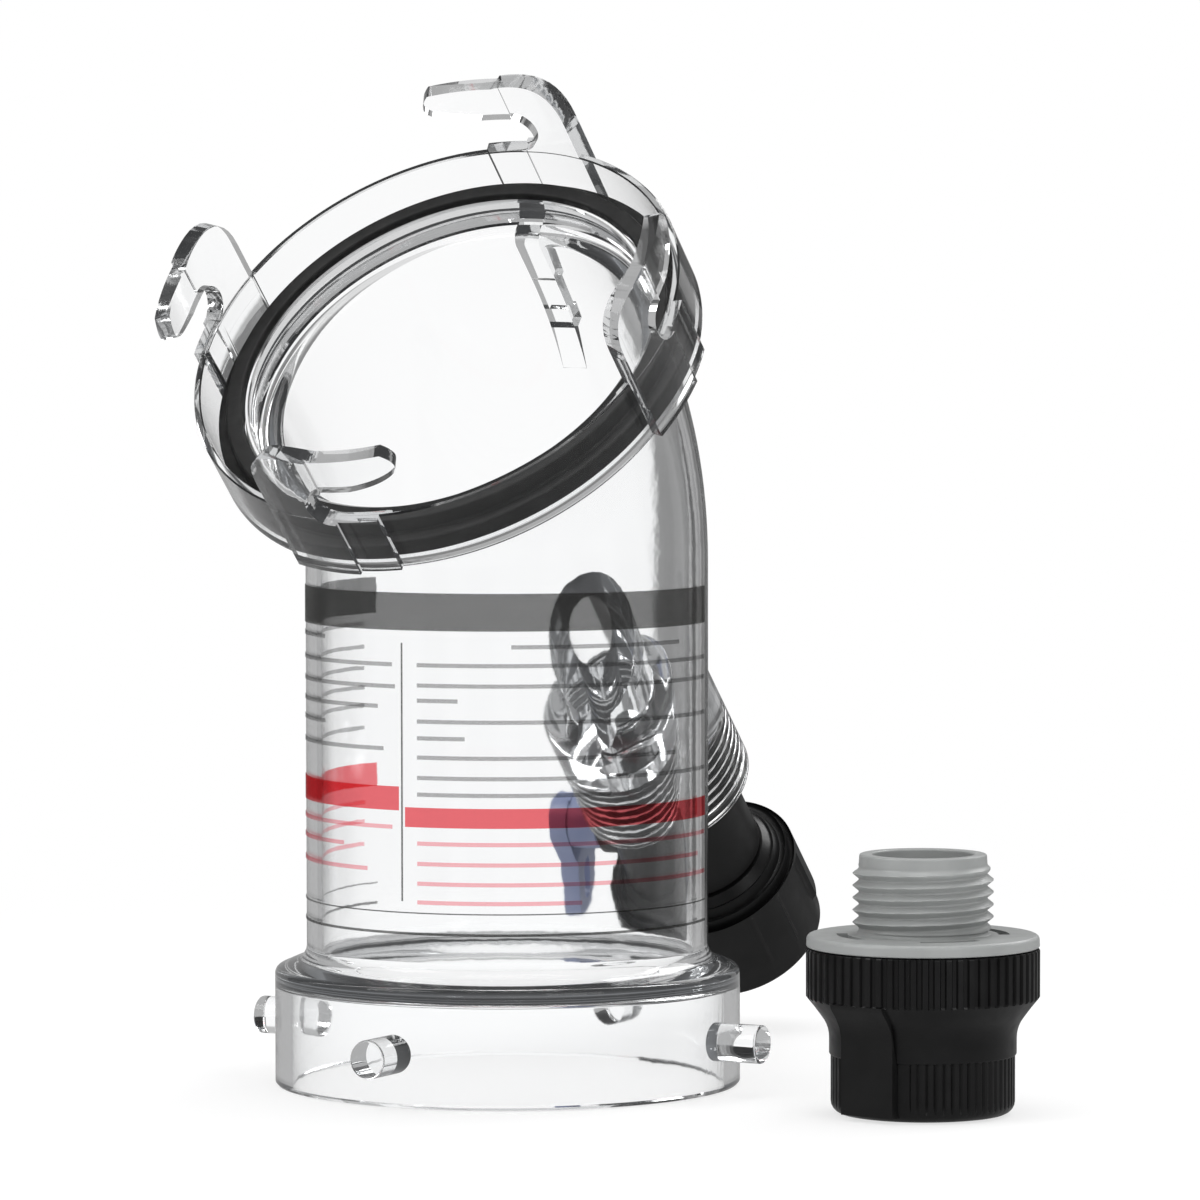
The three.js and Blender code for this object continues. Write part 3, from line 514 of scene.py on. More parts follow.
def outer_form():
    """The outside of the lug ring, the tube and the bayonet ring."""
    top = LUG_HEIGHT + SHOULDER_RISE
    shoulder = arc(LUG_RADIUS - LUG_ROUND, LUG_HEIGHT - 0.6, LUG_ROUND, 0, 62)
    fillet = arc(TUBE_RADIUS + LEG_FILLET, top + LEG_FILLET, LEG_FILLET, 262, 180, 8)
    back = arc(TUBE_RADIUS + HEEL_ROUND, RING_BACK - HEEL_ROUND, HEEL_ROUND, 180, 90)
    profile = [(LUG_RADIUS - 0.4, 0), (LUG_RADIUS, 0.5), *shoulder, *fillet]
    ring = [
        *back,
        *arc(RING_RADIUS - RING_ROUND, RING_BACK + RING_ROUND, RING_ROUND, -90, 0),
        (RING_RADIUS, RING_RIM - 0.35),
        (RING_RADIUS - 0.3, RING_RIM),
    ]
    return loft([
        *[lower(r, z) for r, z in profile],
        lower(TUBE_RADIUS, BEND_START),
        *bend(TUBE_RADIUS),
        upper(TUBE_RADIUS, TANGENT),
        *[upper(r, along) for r, along in ring],
    ])


def inner_form():
    """The space inside the ring, the tube, the collar and the gasket's groove."""
    floor = RING_BACK + RING_FLOOR
    ceiling = LUG_HEIGHT + SHOULDER_RISE - LEDGE_WALL
    bore = LUG_RADIUS - LUG_WALL
    start = arc(bore - 1, ceiling - 1.4, 1, 0, 70)
    throat = arc(BORE_RADIUS + LEG_FILLET, ceiling + LEG_FILLET, LEG_FILLET, 262, 180, 8)
    mouth = arc(BORE_RADIUS + MOUTH_ROUND, floor - MOUTH_ROUND, MOUTH_ROUND, 180, 90)
    outside = COLLAR_RADIUS + COLLAR_WALL
    cup = [
        *mouth,
        (COLLAR_RADIUS - 0.4, floor),
        (COLLAR_RADIUS, floor + 0.4),
        (COLLAR_RADIUS, COLLAR_TOP - 0.25),
        (COLLAR_RADIUS + 0.25, COLLAR_TOP),
        (outside - COLLAR_DRAFT - 0.15, COLLAR_TOP),
        (outside - COLLAR_DRAFT, COLLAR_TOP - 0.15),
        (outside, floor),
        (RING_INNER, floor),
        (RING_INNER, RING_RIM - 0.3),
        (RING_INNER + 0.3, RING_RIM + 0.05),
        (RING_INNER + 0.3, RING_RIM + 2),
    ]
    return loft([
        lower(bore + 0.4, -1),
        lower(bore + 0.4, 0),
        lower(bore, 0.5),
        *[lower(r, z) for r, z in start],
        *[lower(r, z) for r, z in throat],
        lower(BORE_RADIUS, BEND_START),
        *bend(BORE_RADIUS),
        upper(BORE_RADIUS, TANGENT),
        *[upper(r, along) for r, along in cup],
    ])


# --------------------------------------------------------------- elbow: hooks

CURVE_STEPS = 8
POCKET_STEPS = 24
BEND_LENGTH = 1.2


def curve_points(start, control, end):
    """Points of a quadratic curve, without its start."""
    points = []
    for i in range(1, CURVE_STEPS + 1):
        t = i / CURVE_STEPS
        points.append(tuple(
            (1 - t) ** 2 * a + 2 * t * (1 - t) * c + t * t * b for a, c, b in zip(start, control, end)
        ))
    return points


def pocket_arc():
    """The pocket's round back from the rim to the finger's underside, without its ends."""
    pocket = (UNDERSIDE - RING_RIM) / 2
    middle_along = RING_RIM + pocket
    across = math.degrees(pocket / FINGER_OUTER)
    points = []
    for i in range(1, POCKET_STEPS):
        angle = math.pi * (1.5 - i / POCKET_STEPS)
        points.append((POCKET_BACK + across * math.cos(angle), middle_along + pocket * math.sin(angle)))
    return points


def crown_from(start):
    """From a point on top of the hook, over its crown and down to its back."""
    crown = (-8, HOOK_CROWN)
    return [
        start,
        *curve_points(start, (-4, HOOK_CROWN), crown),
        *curve_points(crown, (STEM_START, HOOK_CROWN), (STEM_START, HOOK_SHOULDER)),
    ]


def hook_outline():
    """The finger and stem above the rim, as (degrees, along) points."""
    underside_end = (PAD_END - 2.5, UNDERSIDE)
    outline = [(STEM_START, RING_RIM - 4), (POCKET_BACK, RING_RIM - 4), (POCKET_BACK, RING_RIM)]
    outline += [*pocket_arc(), (POCKET_BACK, UNDERSIDE), underside_end]
    rise = (FINGER_END - 2, UNDERSIDE + 3)
    tip = (FINGER_END - 3, HOOK_SUMMIT)
    outline += curve_points(underside_end, (FINGER_END - 5, UNDERSIDE + 1), rise)
    outline += curve_points(rise, (FINGER_END + 0.8, UNDERSIDE + 5), tip)
    return outline + crown_from((0, HOOK_SUMMIT))


def stem_outline():
    """The thicker stem from the hook's foot to its crown, as (degrees, along) points."""
    outline = [(STEM_START, HOOK_FOOT), (STEM_END, HOOK_FOOT), (STEM_END, RING_RIM)]
    outline += [*pocket_arc(), (STEM_END, UNDERSIDE)]
    return outline + crown_from((STEM_END, HOOK_SUMMIT + 0.2))


def bent_plate(outline, inner, outer, edge=0.55):
    """A plate with that (degrees, along) outline, bent round the upper leg."""
    scale = math.radians(outer)
    flat = prism([(degrees * scale, along) for degrees, along in outline], inner, outer)
    rounded(flat, edge)
    xs = [v.co.x for v in flat.verts]
    low, high = min(xs), max(xs)
    count = max(2, round((high - low) / BEND_LENGTH))
    add_cuts(flat, [low + (high - low) * i / count for i in range(1, count)])
    for v in flat.verts:
        angle = v.co.x / outer
        v.co = Vector((v.co.z * math.cos(angle), v.co.z * math.sin(angle), v.co.y))
    return flat


def hook():
    """One hook in the upper leg's frame, as an object."""
    whole = make("hook", bent_plate(hook_outline(), HOOK_INNER, FINGER_OUTER))
    stem = make("stem", bent_plate(stem_outline(), HOOK_INNER + 0.05, STEM_OUTER, 0.5))
    pad_outline = block(STEM_END - 1, PAD_END, HOOK_FOOT, RING_RIM - 0.02)
    pad = make("pad", bent_plate(pad_outline, HOOK_INNER + 0.1, PAD_OUTER, 0.4))
    combined(whole, stem, "UNION")
    return combined(whole, pad, "UNION")


def copies(piece, count, matrix):
    """A bmesh with that many copies of a piece, turned about +Z, then placed."""
    whole = bmesh.new()
    for i in range(count):
        part = piece.data.copy()
        part.transform(matrix @ Matrix.Rotation(2 * math.pi * i / count, 4, "Z"))
        whole.from_mesh(part)
        bpy.data.meshes.remove(part)
    bpy.data.objects.remove(piece)
    return whole


def pin():
    """One bayonet pin, along +X from inside the lug ring's wall."""
    root = LUG_RADIUS - LUG_WALL / 2
    profile = [(AXIS, root), (PIN_RADIUS, root)]
    profile += arc(PIN_RADIUS - 0.45, PIN_REACH - 0.45, 0.45, 0, 90, 3)
    profile += [(AXIS, PIN_REACH)]
    bm = revolve(profile, 40)
    bm.transform(Matrix.Translation((0, 0, PIN_HEIGHT)) @ Matrix.Rotation(math.pi / 2, 4, "Y"))
    return make("pin", bm)


# ---------------------------------------------------- elbow: rib and inlet

RIB_WIDTH = 5.5
RIB_LENGTH = 33
RIB_HEIGHT = 6.2
RIB_STEPS = (4.3, 3.1)
RIB_BREAKS = (0.38, 0.62, 0.74)  # shares of its length, from the ring


def back_rib():
    """The stepped rib behind the bend, in the leg's frame."""

    def surface(along):
        before = max(0, TANGENT - along)
        return math.sqrt((BEND_RADIUS + TUBE_RADIUS) ** 2 - before**2) - BEND_RADIUS

    high, low = RIB_STEPS
    one, two, three = (RING_BACK - RIB_LENGTH * share for share in RIB_BREAKS)
    end = RING_BACK - RIB_LENGTH
    sunk = TUBE_WALL / 2
    outline = [
        (RING_BACK + 1, TUBE_RADIUS - sunk),
        (RING_BACK + 1, surface(RING_BACK) + RIB_HEIGHT),
        (one, surface(one) + high),
        (one, surface(one) + low),
        (two, surface(two) + low),
        (two, surface(two) + high),
        (three, surface(three) + high),
        (three, surface(three) + low / 2),
        (end, surface(end)),
        (end, surface(end) - sunk),
        (three, surface(three) - sunk),
    ]
    bm = prism(outline, -RIB_WIDTH / 2, RIB_WIDTH / 2)
    rounded(bm, 0.45, 2)
    turn = Matrix(((0, 0, 1, 0), (0, 1, 0, 0), (1, 0, 0, 0), (0, 0, 0, 1)))
    bm.transform(UPPER_IN_LEG @ turn)
    return bm


def socket_form():
    """The neck from the tube and the socket on it, joined by a web below."""
    profile = [(AXIS, NECK_ROOT), (NECK_RADIUS, NECK_ROOT), (NECK_RADIUS, SOCKET_BACK - 1)]
    profile += arc(NECK_RADIUS + 1, SOCKET_BACK - 1, 1, 180, 90, 4)
    profile += arc(SOCKET_RADIUS - SOCKET_ROUND, SOCKET_BACK + SOCKET_ROUND, SOCKET_ROUND, -90, 0, 7)
    profile += arc(SOCKET_RADIUS - 0.8, SOCKET_REACH - 0.8, 0.8, 0, 90)
    profile += [(AXIS, SOCKET_REACH)]
    socket = make("socket", revolve(profile, 96), INLET_IN_LEG)
    half = WEB_WIDTH / 2
    depth = SOCKET_RADIUS - SOCKET_ROUND - 0.3
    web = prism(block(-half, half, 6, depth), NECK_ROOT + 8, SOCKET_BACK + 2)
    return combined(socket, make("web", web, INLET_IN_LEG), "UNION")


def socket_bore():
    root = SOCKET_BORE
    low = SOCKET_FLOOR + 0.6
    high = SOCKET_REACH - 0.8
    profile = [
        (AXIS, NECK_ROOT),
        (PASSAGE_RADIUS, NECK_ROOT),
        (PASSAGE_RADIUS, SOCKET_FLOOR - 0.5),
        (PASSAGE_RADIUS + 0.5, SOCKET_FLOOR),
        (root, SOCKET_FLOOR),
    ]
    profile += thread_profile(low, high, root)
    beyond = SOCKET_REACH + 2
    profile += [(root + 0.7, SOCKET_REACH + 0.05), (root + 0.7, beyond), (AXIS, beyond)]
    ripple = thread_ripple(low, high, root, root + 0.75)
    bm = revolve(profile, 96, ripple)
    bm.transform(INLET_IN_LEG)
    return bm


def build_elbow():
    elbow = make("clear_elbow", outer_form())
    hooks = copies(hook(), HOOK_COUNT, UPPER_IN_LEG)
    pins = copies(pin(), PIN_COUNT, IN_PLACE)
    extras = make("extras", merged(hooks, pins, back_rib()))
    combined(elbow, socket_form(), "UNION")
    combined(elbow, make("bore", inner_form()), "DIFFERENCE")
    combined(elbow, make("inlet", socket_bore()), "DIFFERENCE")
    combined(elbow, extras, "UNION")
    elbow.data.transform(LEG_FRAME)
    return finish_surface(elbow, 32)


dress(build_elbow(), "clear_plastic", "elbow", "elbow_body")

# ---------------------------------------------------------------- ring gasket


def build_gasket():
    inner = COLLAR_RADIUS + COLLAR_WALL + SEAT
    outer = RING_INNER - SEAT
    low = RING_BACK + RING_FLOOR + SEAT
    top = low + 3.6
    lip = inner + 1.7
    end = top + 3.1
    drawn = inner - COLLAR_DRAFT
    profile = [
        (inner, low),
        *arc(outer - 0.4, low + 0.4, 0.4, -90, 0, 3),
        *arc(outer - 0.5, top - 0.5, 0.5, 0, 90, 3),
        (lip + 0.4, top),
        (lip, top + 0.4),
        *arc(lip - 0.7, end - 0.4, 0.4, 0, 90, 3),
        *arc(drawn + 0.4, end - 0.4, 0.4, 90, 180, 3),
        (drawn, COLLAR_TOP),
    ]
    return make("gasket", revolve(profile, ELBOW_SEGMENTS), UPPER_FRAME)


dress(build_gasket(), "black_rubber", "elbow", "ring_gasket")

# ------------------------------------------------------------------ the valve

VALVE_NECK = 12.6
VALVE_BORE = 8
CHAMBER = 8.7
CHAMBER_FLOOR = 101.5
PORT = 5.5
PORT_START = 97.5
CONE_START = 95.5
BOSS_FOOT = 9.2
BOSS_TOP = 16.5
STEM_BORE = 3.3
SEAL_RADIUS = 5.3
SEAL_DEPTH = 2
WASHER = 2.2


def build_valve_body():
    nipple = SOCKET_BORE - SEAT
    start = SOCKET_FLOOR + SEAT + WASHER + SEAT
    root = nipple - THREAD_DEPTH
    low, high = start + 0.9, SOCKET_REACH - 1.2
    profile = [
        (VALVE_BORE, start),
        (root, start),
        *thread_profile(low, high, root),
        (VALVE_NECK, SOCKET_REACH - 0.6),
        (VALVE_NECK, BODY_END - 0.5),
        (VALVE_NECK - 0.5, BODY_END),
        (CHAMBER, BODY_END),
        (CHAMBER, CHAMBER_FLOOR),
        (PORT, CHAMBER_FLOOR),
        (PORT, PORT_START),
        (VALVE_BORE, CONE_START),
    ]
    body = make("valve_casing", revolve(profile, 96, thread_ripple(low, high, root, nipple)))
    boss_profile = [
        (AXIS, BOSS_FOOT),
        (6.6, BOSS_FOOT),
        (6.6, 11.8),
        (6.2, 12.6),
        *arc(5.7, BOSS_TOP - 0.5, 0.5, 0, 90, 3),
        (AXIS, BOSS_TOP),
    ]
    combined(body, make("boss", revolve(boss_profile, 48), SPINDLE_FRAME), "UNION")
    groove_floor = BOSS_TOP - SEAL_DEPTH
    bore = [
        (AXIS, 0),
        (STEM_BORE, 0),
        (STEM_BORE, groove_floor),
        (SEAL_RADIUS, groove_floor),
        (SEAL_RADIUS, 18),
        (AXIS, 18),
    ]
    combined(body, make("spindle", revolve(bore, 40), SPINDLE_FRAME), "DIFFERENCE")
    body.data.transform(INLET_FRAME)
    return finish_surface(body)


dress(build_valve_body(), "black_plastic", "elbow", "valve_body")

NUT_END = NUT_START + 25.7
NUT_HOLE = 9.9
NUT_FLOOR = NUT_START + 2.7
NUT_INSIDE = 16.5
NUT_BARREL = 17.55
NUT_ROOT = 13.6
NUT_CREST = 12.5
NUT_THREAD_START = NUT_START + 9
NUT_THREAD_END = NUT_END - 1
NUT_RIBS = 6
NUT_RIB_START = NUT_START + 6
NUT_RIB_END = NUT_START + 19.5
NUT_RIB_HALF = 3.9
NUT_RIB_HEIGHT = 0.85


def nut_ripple(angle, radius, height):
    """Raises six broad grips with soft sides on the nut's barrel."""
    if radius < NUT_INSIDE or height < NUT_RIB_START - 0.01 or height > NUT_RIB_END + 0.01:
        return radius
    step = 2 * math.pi / NUT_RIBS
    from_middle = abs((angle + step * 50) % step - step / 2) * radius
    return radius + NUT_RIB_HEIGHT * min(1, max(0, (NUT_RIB_HALF - from_middle) / 0.5))


def build_nut():
    profile = [
        (NUT_HOLE, NUT_START),
        (12.9, NUT_START),
        *arc(14.2, NUT_START + 1, 0.9, 90, 60, 2),
        *arc(15.9, NUT_START + 2.6, 1.1, 110, 20, 4),
        *arc(17.4, NUT_START + 4.6, 1, 100, 0, 4),
        (18.4, NUT_START + 5.6),
        (NUT_BARREL, NUT_RIB_START),
        (NUT_BARREL, NUT_RIB_START + 0.01),
        (NUT_BARREL, NUT_RIB_END),
        (17.54, NUT_RIB_END + 0.3),
        (17.5, NUT_END - 1),
        *arc(16.5, NUT_END - 1, 1, 0, 90),
        (14.3, NUT_END),
        (NUT_ROOT, NUT_END - 0.7),
        *reversed(thread_profile(NUT_THREAD_START, NUT_THREAD_END, NUT_ROOT)),
        (NUT_ROOT, NUT_FLOOR),
        (NUT_HOLE, NUT_FLOOR),
    ]
    inner = thread_ripple(NUT_THREAD_START, NUT_THREAD_END, NUT_ROOT, NUT_CREST)

    def ripple(angle, radius, height):
        return nut_ripple(angle, inner(angle, radius, height), height)

    return finish_surface(make("swivel_nut", revolve(profile, 240, ripple), INLET_FRAME), 40)


dress(build_nut(), "black_plastic", "nut", "hose_nut")

# ------------------------------------------------------------------ the lever


HUB_FOOT = 16.8
HUB_RADIUS = 5.6
SCREW_BORE = 1.7
SCREW_SEAT = 25.8
STADIUM_STEPS = 14


def stadium(start, end, radius):
    """A slot's outline between two centres on X."""
    points = []
    for middle_x, first in ((end, -90), (start, 90)):
        for i in range(STADIUM_STEPS + 1):
            angle = math.radians(first + 180 * i / STADIUM_STEPS)
            points.append((middle_x + radius * math.cos(angle), radius * math.sin(angle)))
    return points


def build_lever():
    stand, thick, flare, knee, length, half = 24.4, 4.4, 6.2, 6.5, 28, 6
    plan = rounded(prism(stadium(0, length - half, half), 0, thick), 0.9)
    add_cuts(plan, range(1, 30))
    for v in plan.verts:
        v.co.z += stand + flare * max(0, v.co.x - knee) / (length - knee)
    lever = make("blue_lever", plan)
    slot = prism(stadium(length - 14, length - half, 2), stand - 2, stand + thick + flare + 3)
    combined(lever, make("slot", slot), "DIFFERENCE")
    hub_profile = [
        (AXIS, HUB_FOOT),
        (HUB_RADIUS - 0.4, HUB_FOOT),
        (HUB_RADIUS, HUB_FOOT + 0.4),
        (HUB_RADIUS, stand + 2),
        (AXIS, stand + 2),
    ]
    combined(lever, make("hub", revolve(hub_profile, 48)), "UNION")
    bore = [
        (AXIS, 15),
        (STEM_BORE, 15),
        (STEM_BORE, SCREW_SEAT),
        (SCREW_BORE, SCREW_SEAT),
        (SCREW_BORE, 40),
        (AXIS, 40),
    ]
    combined(lever, make("bore", revolve(bore, 32)), "DIFFERENCE")
    lever.data.transform(INLET_FRAME @ SPINDLE_FRAME)
    return finish_surface(lever)


dress(build_lever(), "blue_plastic", "lever", "valve_lever")

# ----------------------------------------------------------- vacuum breaker

BARREL = 17.5
BAND = 17.8
HEAD = 22.2
HEAD_LOW = 22.3
HEAD_TOP = 31.4
BAND_LOW = 11.2
KNURLS = 62
BARREL_RIBS = 66
PAD_DIRECTION = math.radians(-100)
PAD_SPAN = math.radians(27)
PAD_HALF = 5.9
OUTLET_ROOT = 13.4
OUTLET_CREST = 12.4
OUTLET_END = 11.5
OUTLET_THREAD = (1, 9)
INLET_RADIUS = 5.5
CHAMBER_RADIUS = 15.5
CUP_RADIUS = 19.2
CUP_FLOOR = 22


def breaker_ripple(angle, radius, height):
    """Knurls on the head, and ribs on the barrel except beside its smooth pad."""
    if radius > HEAD - 0.6 and HEAD_LOW - 0.2 < height < HEAD_TOP - 0.1:
        wave = abs((angle * KNURLS / (2 * math.pi)) % 1 - 0.5) * 2
        return radius - 0.5 * max(0, min(1, (0.55 - wave) * 7))
    beside_pad = abs((angle - PAD_DIRECTION + math.pi) % (2 * math.pi) - math.pi) < PAD_SPAN
    if 17 < radius < BARREL + 0.01 and 2 < height < BAND_LOW and not beside_pad:
        wave = abs((angle * BARREL_RIBS / (2 * math.pi)) % 1 - 0.5) * 2
        return radius - 0.4 * max(0, 1 - wave * 2)
    return radius


def build_breaker_body():
    profile = [
        (OUTLET_ROOT, 0),
        *arc(15.1, 2.4, 2.4, -90, 0, 5),
        (BARREL, 3.2),
        (BARREL, BAND_LOW - 0.1),
        (BAND - 0.1, BAND_LOW + 0.1),
        (BAND, BAND_LOW + 0.3),
        (BAND, 14),
        *arc(BAND + 6.5, 14.4, 6.5, 180, 141, 5),
        (20.6, 20.3),
        (21.9, HEAD_LOW - 0.4),
        (HEAD, HEAD_LOW),
        (HEAD, HEAD_LOW + 0.05),
        (HEAD, HEAD_TOP - 0.4),
        (HEAD - 0.3, HEAD_TOP),
        (CUP_RADIUS, HEAD_TOP),
        (CUP_RADIUS, CUP_FLOOR),
        (CHAMBER_RADIUS, CUP_FLOOR),
        (CHAMBER_RADIUS, OUTLET_END + 3),
        (INLET_RADIUS, OUTLET_END + 3),
        (INLET_RADIUS, OUTLET_END),
        (OUTLET_ROOT, OUTLET_END),
        *reversed(thread_profile(*OUTLET_THREAD, OUTLET_ROOT)),
    ]
    inner = thread_ripple(*OUTLET_THREAD, OUTLET_ROOT, OUTLET_CREST)

    def ripple(angle, radius, height):
        return breaker_ripple(angle, inner(angle, radius, height), height)

    body = make("breaker_barrel", revolve(profile, 9 * KNURLS, ripple))
    pad_side = [
        (14.6, 1), (18.4, 1), (18.4, 15.4), (18.9, 17.4), (20.1, 19.4), (21.7, 21.2), (22, 22.1), (19.6, 22.1),
    ]
    pad = prism(pad_side, -PAD_HALF, PAD_HALF)
    pad.transform(Matrix(((1, 0, 0, 0), (0, 0, -1, 0), (0, 1, 0, 0), (0, 0, 0, 1))))
    rounded(pad, 0.4)
    combined(body, make("pad", pad, Matrix.Rotation(PAD_DIRECTION, 4, "Z")), "UNION")
    body.data.transform(BREAKER_FRAME)
    return finish_surface(body, 38)


dress(build_breaker_body(), "black_plastic", "breaker", "breaker_body")

CAP_LOW = HEAD_TOP + SEAT
CAP_TOP = CAP_LOW + 2.3
CAP_THREAD_LOW = CAP_TOP + 0.9
CAP_THREAD_HIGH = CAP_THREAD_LOW + 12.5
CAP_END = CAP_THREAD_HIGH + 2
CAP_NECK = 12.2
CAP_CREST = 13.45
CAP_BORE = 9.6
CAP_HOLE = 3.5
CAP_FOOT = 26.1
CAP_PITCH = 2.33
SKIRT_INNER = 16.7
SKIRT_OUTER = 18.9
SKIRT_END = 24.2
VENT_OUTER = 16.4
VENT_INNER = 14.3
VENT_SPAN = 22
VENT_STEPS = 14
HOLE_RADIUS = 2
HOLE_CIRCLE = 6.55


def vent_outline(direction):
    """One curved vent slot, as (x, y) points."""
    points = []
    for radius, sign in ((VENT_OUTER, -1), (VENT_INNER, 1)):
        for i in range(VENT_STEPS + 1):
            angle = math.radians(direction + sign * (VENT_SPAN - 2 * VENT_SPAN * i / VENT_STEPS))
            points.append((radius * math.cos(angle), radius * math.sin(angle)))
    return points


def build_breaker_cap():
    low, high = CAP_THREAD_LOW, CAP_THREAD_HIGH
    profile = [
        (CAP_HOLE, CAP_FOOT),
        (CAP_NECK, CAP_FOOT),
        (CAP_NECK, CAP_LOW),
        (SKIRT_INNER, CAP_LOW),
        (SKIRT_INNER, SKIRT_END),
        (SKIRT_OUTER, SKIRT_END),
        (SKIRT_OUTER, CAP_LOW),
        (HEAD - 0.25, CAP_LOW),
        (HEAD - 0.05, CAP_LOW + 0.2),
        *arc(HEAD - 1, CAP_TOP - 0.9, 0.9, 0, 90, 5),
        *arc(CAP_NECK + 1, CAP_TOP + 1, 1, 270, 180, 4),
        *thread_profile(low, high, CAP_NECK, CAP_PITCH / 16),
        *arc(CAP_NECK - 0.5, CAP_END - 0.5, 0.4, 0, 90, 3),
        *arc(CAP_BORE + 0.4, CAP_END - 0.5, 0.4, 90, 180, 3),
        (CAP_BORE, CAP_FOOT + 2),
        (CAP_HOLE, CAP_FOOT + 2),
    ]
    ripple = thread_ripple(low - 0.6, high, CAP_NECK, CAP_CREST, CAP_PITCH, 0.5)
    cap = make("breaker_neck", revolve(profile, 128, ripple))
    vents = [prism(vent_outline(45 + 90 * i), CAP_LOW - 2, CAP_TOP + 2) for i in range(4)]
    combined(cap, make("vents", merged(*vents)), "DIFFERENCE")
    holes = []
    for i in range(4):
        hole = revolve(block(AXIS, HOLE_RADIUS, 24, 30), 24)
        angle = math.pi * i / 2
        centre = (HOLE_CIRCLE * math.cos(angle), HOLE_CIRCLE * math.sin(angle), 0)
        bmesh.ops.translate(hole, verts=hole.verts, vec=centre)
        holes.append(hole)
    combined(cap, make("holes", merged(*holes)), "DIFFERENCE")
    cap.data.transform(BREAKER_FRAME)
    return finish_surface(cap, 38)


dress(build_breaker_cap(), "grey_plastic", "breaker", "breaker_cap")

# ------------------------------------------------- plain bands on the tube

LABEL_LIFT = 0.06
LABEL_FILM = 0.08
LABEL_FRONT = -62.3
LABEL_START = -134
LABEL_DIVIDER = -29.8
LABEL_END = 78
RULE_WIDTH = 0.8


def band(low, high, start, end):
    """A thin film on the lower leg, between two angles from the label's middle."""
    inner = TUBE_RADIUS + LABEL_LIFT
    outer = inner + LABEL_FILM
    steps = max(1, round(abs(end - start) / 2.5))
    bm = bmesh.new()
    rows = []
    for i in range(steps + 1):
        angle = math.radians(LABEL_FRONT + start + (end - start) * i / steps)
        ray = Vector((math.cos(angle), math.sin(angle), 0))
        rows.append([bm.verts.new((ray.x * r, ray.y * r, z)) for r, z in block(inner, outer, low, high)])
    grid(bm, rows)
    close_ends(bm, rows)
    return bm


def printed(name, look, *films):
    """A piece of thin films in one ink."""
    piece = make(name, merged(*films), LEG_FRAME)
    piece.data.materials.append(look)
    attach(piece, "elbow")


def rules(*lines):
    """Plain ruled lines, each given as its height, start and end."""
    return [band(z - RULE_WIDTH / 2, z + RULE_WIDTH / 2, start, end) for z, start, end in lines]


DARK_INK = ink("dark_ink", (0.014, 0.014, 0.012), 0.56)
RED_INK = stain("red_ink", (0.84, 0.17, 0.19))
GREY_INK = ink("grey_ink", (0.02, 0.02, 0.02), 0.33)
PINK_INK = stain("pink_ink", (0.94, 0.5, 0.53))

printed(
    "label_bands",
    DARK_INK,
    band(91.0, 98.2, LABEL_START, LABEL_END),
    band(36.7, 36.95, LABEL_START, LABEL_END),
    band(32.6, 33.1, LABEL_START, LABEL_END),
    band(39, 88.6, LABEL_DIVIDER - 0.25, LABEL_DIVIDER + 0.25),
)
printed(
    "label_red_bands",
    RED_INK,
    band(56.4, 61.0, LABEL_START, LABEL_DIVIDER - 1),
    band(53.3, 57.1, LABEL_DIVIDER + 1, LABEL_END),
)
printed(
    "label_dark_rules",
    GREY_INK,
    *rules(
        (88.0, 2, 58), (84.4, -25, 77), (80.5, -25, 77), (77.6, -25, -13), (73.6, -25, 77),
        (70.4, -25, -11), (66.7, -25, 56), (62.8, -25, 77), (59.6, -25, 31),
        (89.0, -128, -62), (84.4, -128, -33), (80.2, -128, -32), (76.3, -128, -38),
        (72.6, -128, -62), (68.2, -128, -36),
    ),
)
printed(
    "label_red_rules",
    PINK_INK,
    *rules(
        (50.2, -25, 77), (46.3, -25, 70), (42.5, -25, 77), (38.9, -25, 22),
        (53.2, -128, -33), (49.4, -128, -52), (44.9, -128, -42),
    ),
)

# --------------------------------------------------- CAD nodes that stay

for part in frame["record"]["subparts"]:
    node = NODES[part["node"]]
    node.data.materials.clear()
    node.data.materials.append(LOOKS[part["material_slot"]])

# --------------------------------------------------- floor, light and camera


def node_math(tree, operation, first, second=0.0):
    """The output of a math node on two sockets or numbers."""
    node = tree.nodes.new("ShaderNodeMath")
    node.operation = operation
    for socket, value in zip(node.inputs, (first, second)):
        if isinstance(value, (int, float)):
            socket.default_value = value
        else:
            tree.links.new(value, socket)
    return node.outputs[0]


def mix_shaders(tree, factor, first, second):
    node = tree.nodes.new("ShaderNodeMixShader")
    tree.links.new(factor, node.inputs[0])
    tree.links.new(first.outputs[0], node.inputs[1])
    tree.links.new(second.outputs[0], node.inputs[2])
    return node


AMBIENT = 0.7
GLOSS_LEVEL = 0.42
PIPED_LEVEL = 0.7
FLAG_SHADE = 0.25
DEEP_SHADE = 0.16
CEILING_SHADE = 0.5
LOW_FLAGS = 0.35  # what is left of the flags below the horizon
FLAG_EDGES = ((4.6, 6.2), (9.5, 11), (21, 22.6))  # degrees from each flag's middle
FLAG_STEP = 90
FLAG_MIDDLE = 45
FLAG_FOOT = (-0.27, -0.18)  # heights on the unit sphere
CEILING_EDGES = ((0.3, 0.45), (0.75, 0.85))


def path_level(tree, path):
    """White for a straight look, dim for one reflection, between the two for light piped on."""
    depth = path.outputs["Glossy Depth"]
    once = node_range(tree, depth, 0, 1, 1, GLOSS_LEVEL)
    return node_math(tree, "ADD", once, node_range(tree, depth, 1, 2, 0, PIPED_LEVEL - GLOSS_LEVEL))


